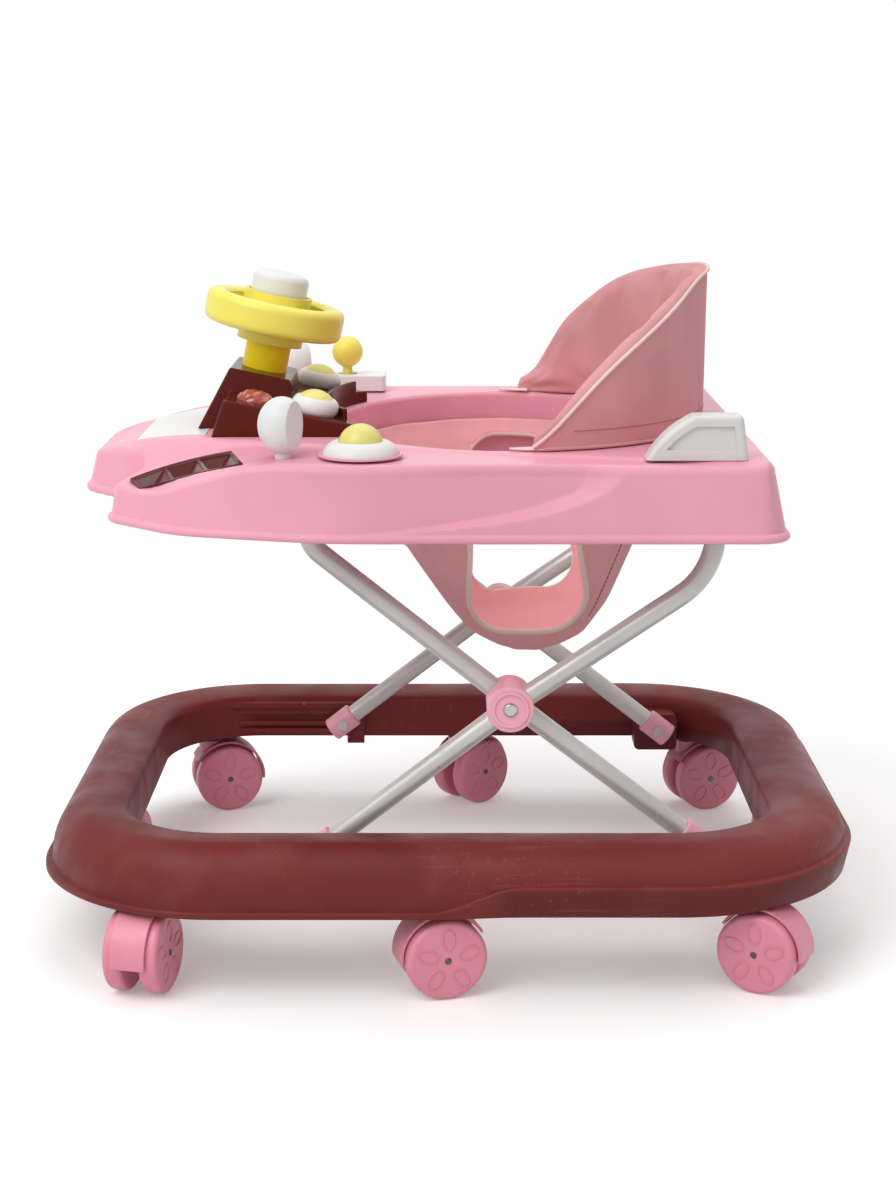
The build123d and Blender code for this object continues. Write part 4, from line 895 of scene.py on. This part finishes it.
# Side seams: where they start and how far they run, in angle and height, and how proud they stand
SEAM_TURN, SEAM_TURN_RUN, SEAM_TOP_Z, SEAM_DROP, SEAM_PROUD = 0.5, 0.25, 352, 100, 0.35
SLING_Z = np.linspace(SLING_BOTTOM_Z, 386, 170)
LEG_HOLE = rounded_path([(16, 372), (94, 372), (118, 247), (18, 243)], [26, 26, 30, 26])


def sling_form():
    """Middle and half sizes of the sling at each height of SLING_Z, with the bends eased."""
    rings = SLING_RINGS[::-1]
    reach = 9
    kernel = np.ones(2 * reach + 1) / (2 * reach + 1)
    columns = [np.interp(SLING_Z, [r[0] for r in rings], [r[k] for r in rings]) for k in (1, 2, 3)]
    padded = [np.pad(c, reach, mode="reflect", reflect_type="odd") for c in columns]
    return [np.convolve(c, kernel, mode="valid") for c in padded]


SLING_FORM = sling_form()


def sling_at(turn, z):
    """Point of the sling's cloth at an angle and a height."""
    x, a, b = (np.interp(z, SLING_Z, column) for column in SLING_FORM)
    fold = 1.4 * math.sin(turn * 17 + 0.6) * float(smooth(z, 240, 380))
    fold += 0.9 * math.sin(turn * 9 + z * 0.03)
    return (x + (a + fold) * math.cos(turn), (b + fold) * math.sin(turn), z)


def sling_side(x, z, side):
    """Point of the sling's cloth at a place seen from one side."""
    middle, a = (np.interp(z, SLING_Z, column) for column in SLING_FORM[:2])
    return sling_at(side * math.acos(min(1, max(-1, (x - middle) / a))), z)


def inside_line(x, z, line):
    """Whether a place lies inside a closed line."""
    ahead = np.roll(line, -1, 0)
    crosses = (line[:, 1] > z) != (ahead[:, 1] > z)
    rise = np.where(crosses, ahead[:, 1] - line[:, 1], 1)
    crossing_x = line[:, 0] + (z - line[:, 1]) / rise * (ahead[:, 0] - line[:, 0])
    return int(np.sum(crosses & (x < crossing_x))) % 2 == 1


def seat_sling():
    """The bowl, with its cloth drawn to the edges of the leg holes."""
    turns = np.linspace(0, 2 * math.pi, 300, endpoint=False)
    bowl = np.linspace(SLING_TOP_Z, SLING_BOWL_Z, 76)
    heights = np.concatenate([bowl, np.linspace(SLING_BOWL_Z - 2, SLING_FLOOR_Z, 12)])
    points = [sling_at(t, z) for z in heights for t in turns]
    floor = np.array(points[-len(turns):]).mean(0)
    faces = grid_faces(len(heights), len(turns), False, True)
    last = len(points) - len(turns)
    points.append((floor[0], floor[1], SLING_BOTTOM_Z))
    faces += [(last + k, last + (k + 1) % len(turns), len(points) - 1) for k in range(len(turns))]
    co = np.array(points)
    fine = resample(LEG_HOLE, 400)
    inside = np.array([abs(c[1]) > LEG_HOLE_FROM_Y and inside_line(c[0], c[2], fine) for c in co])
    kept = [f for f in faces if not all(inside[list(f)])]
    edge = {k for f in kept for k in f if inside[k]}
    for k in edge:
        near = fine[np.argmin(np.hypot(fine[:, 0] - co[k, 0], fine[:, 1] - co[k, 2]))]
        points[k] = sling_side(near[0], near[1], 1 if co[k, 1] > 0 else -1)
    piece = mesh_piece("seat_sling_cloth", points, kept, SLING_CLOTH_PAINTED_LIGHTER)
    loose = bmesh.new()
    loose.from_mesh(piece.data)
    bmesh.ops.delete(loose, geom=[v for v in loose.verts if not v.link_faces], context="VERTS")
    loose.to_mesh(piece.data)
    loose.free()
    return piece


sling = seat_sling()
thread_map(sling)
wall = sling.modifiers.new("cloth", "SOLIDIFY")
wall.thickness, wall.offset = SLING_THICK * MM, -1
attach(sling, "tray")
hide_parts("seat_sling")
hole_paths = [[sling_side(x, z, side) for x, z in resample(LEG_HOLE, 120)] for side in (1, -1)]
hole_tubes = [tube_grid(p, HOLE_PIPING_RADIUS, 10, True) for p in hole_paths]
soft_trim("leg_hole_piping", joined(*hole_tubes), "tray", PIPING)
seams = []
for side in (1, -1):
    run = [sling_at(side * (SEAM_TURN + SEAM_TURN_RUN * k / 30), SEAM_TOP_Z - SEAM_DROP * k / 30)
           for k in range(31)]
    proud = np.array([SEAM_PROUD, side * SEAM_PROUD, 0])
    seams.append(stitches([np.array(p) + proud for p in run], 3.0, 1.4, 0.5))
soft_trim("sling_seams", joined(*seams), "tray", SEAM)

# Studio: pale floor, soft light and the camera at the photograph's angle
FLOOR_HALF, FADE_FROM, FADE_TO = 12.0, 0.55, 1.3
FLOOR_LIFT, FLOOR_GAP = 0.19, 0.3
BOUNCE_GREY, SEEN_GREY = (0.8, 0.8, 0.8, 1), (0.96, 0.96, 0.96, 1)
SKY_STRENGTH, LIT_POINT = 0.55, Vector((0, 0, 0.3))
# Area lamps: name, place and size in metres, power in watts
LAMPS = (("key", (-1.3, -1.5, 2.3), 1.8, 38), ("top", (0.3, 0.6, 2.6), 2.2, 19))
CAMERA_PLACE, CAMERA_TILT, CAMERA_LENS, SENSOR_WIDTH = (0, -1.808, 0.6628), 77.30, 65.93, 36


def studio_floor():
    """Pale floor that keeps its shadow near the walker and is white beyond and in reflections."""
    f = Finish("studio_floor", roughness=0.9)
    ray = f.tree.nodes.new("ShaderNodeLightPath")
    seen = f.larger(ray.outputs["Is Camera Ray"], ray.outputs["Is Glossy Ray"])
    seen = f.larger(seen, ray.outputs["Is Transmission Ray"])
    f.use(f.mix(seen, BOUNCE_GREY, SEEN_GREY))
    away = f.node("VectorMath", {0: f.place}, output=1, operation="LENGTH")
    fade = f.times(f.span(away, FADE_FROM, FADE_TO, 0.0, 1.0), seen)
    glow = f.node("Emission", {"Color": (1, 1, 1, 1), "Strength": 1.0})
    lift = f.node("Emission", {"Color": (1, 1, 1, 1), "Strength": f.times(seen, FLOOR_LIFT)})
    lifted = f.node("AddShader", {0: f.shader.outputs[0], 1: lift})
    mixed = f.node("MixShader", {0: fade, 1: lifted, 2: glow})
    f.feed(f.tree.nodes["Material Output"].inputs["Surface"], mixed)
    half = FLOOR_HALF / MM
    corners = [(x, y, -FLOOR_GAP) for x, y in ((-half, -half), (half, -half), (half, half), (-half, half))]
    mesh_piece("studio_floor", corners, [(0, 1, 2, 3)], f.material)


def studio_light():
    """White background, a dimmer sky that lights the walker, and two lamps."""
    scene = bpy.context.scene
    scene.view_settings.view_transform = "Standard"
    world = bpy.data.worlds.new("studio")
    scene.world = world
    world.use_nodes = True
    tree = world.node_tree
    sky = tree.nodes["Background"]
    sky.inputs["Color"].default_value = (1, 1, 1, 1)
    sky.inputs["Strength"].default_value = SKY_STRENGTH
    white = tree.nodes.new("ShaderNodeBackground")
    white.inputs["Color"].default_value = (1, 1, 1, 1)
    ray = tree.nodes.new("ShaderNodeLightPath")
    seen = ray.outputs["Is Camera Ray"]
    for kind in ("Is Glossy Ray", "Is Transmission Ray"):
        either = tree.nodes.new("ShaderNodeMath")
        either.operation = "MAXIMUM"
        tree.links.new(seen, either.inputs[0])
        tree.links.new(ray.outputs[kind], either.inputs[1])
        seen = either.outputs[0]
    mixed = tree.nodes.new("ShaderNodeMixShader")
    tree.links.new(seen, mixed.inputs[0])
    tree.links.new(sky.outputs[0], mixed.inputs[1])
    tree.links.new(white.outputs[0], mixed.inputs[2])
    tree.links.new(mixed.outputs[0], tree.nodes["World Output"].inputs["Surface"])
    for name, place, size, power in LAMPS:
        lamp = bpy.data.lights.new(name, "AREA")
        lamp.size, lamp.energy = size, power
        holder = bpy.data.objects.new(name, lamp)
        holder.location = place
        holder.rotation_euler = (LIT_POINT - Vector(place)).to_track_quat("-Z", "Y").to_euler()
        scene.collection.objects.link(holder)


def photo_camera():
    """Camera at the photograph's angle."""
    camera = bpy.data.cameras.new("camera")
    camera.lens, camera.sensor_width = CAMERA_LENS, SENSOR_WIDTH
    holder = bpy.data.objects.new("camera", camera)
    holder.location = CAMERA_PLACE
    holder.rotation_euler = (math.radians(CAMERA_TILT), 0, 0)
    bpy.context.scene.collection.objects.link(holder)
    bpy.context.scene.camera = holder


studio_floor()
studio_light()
photo_camera()
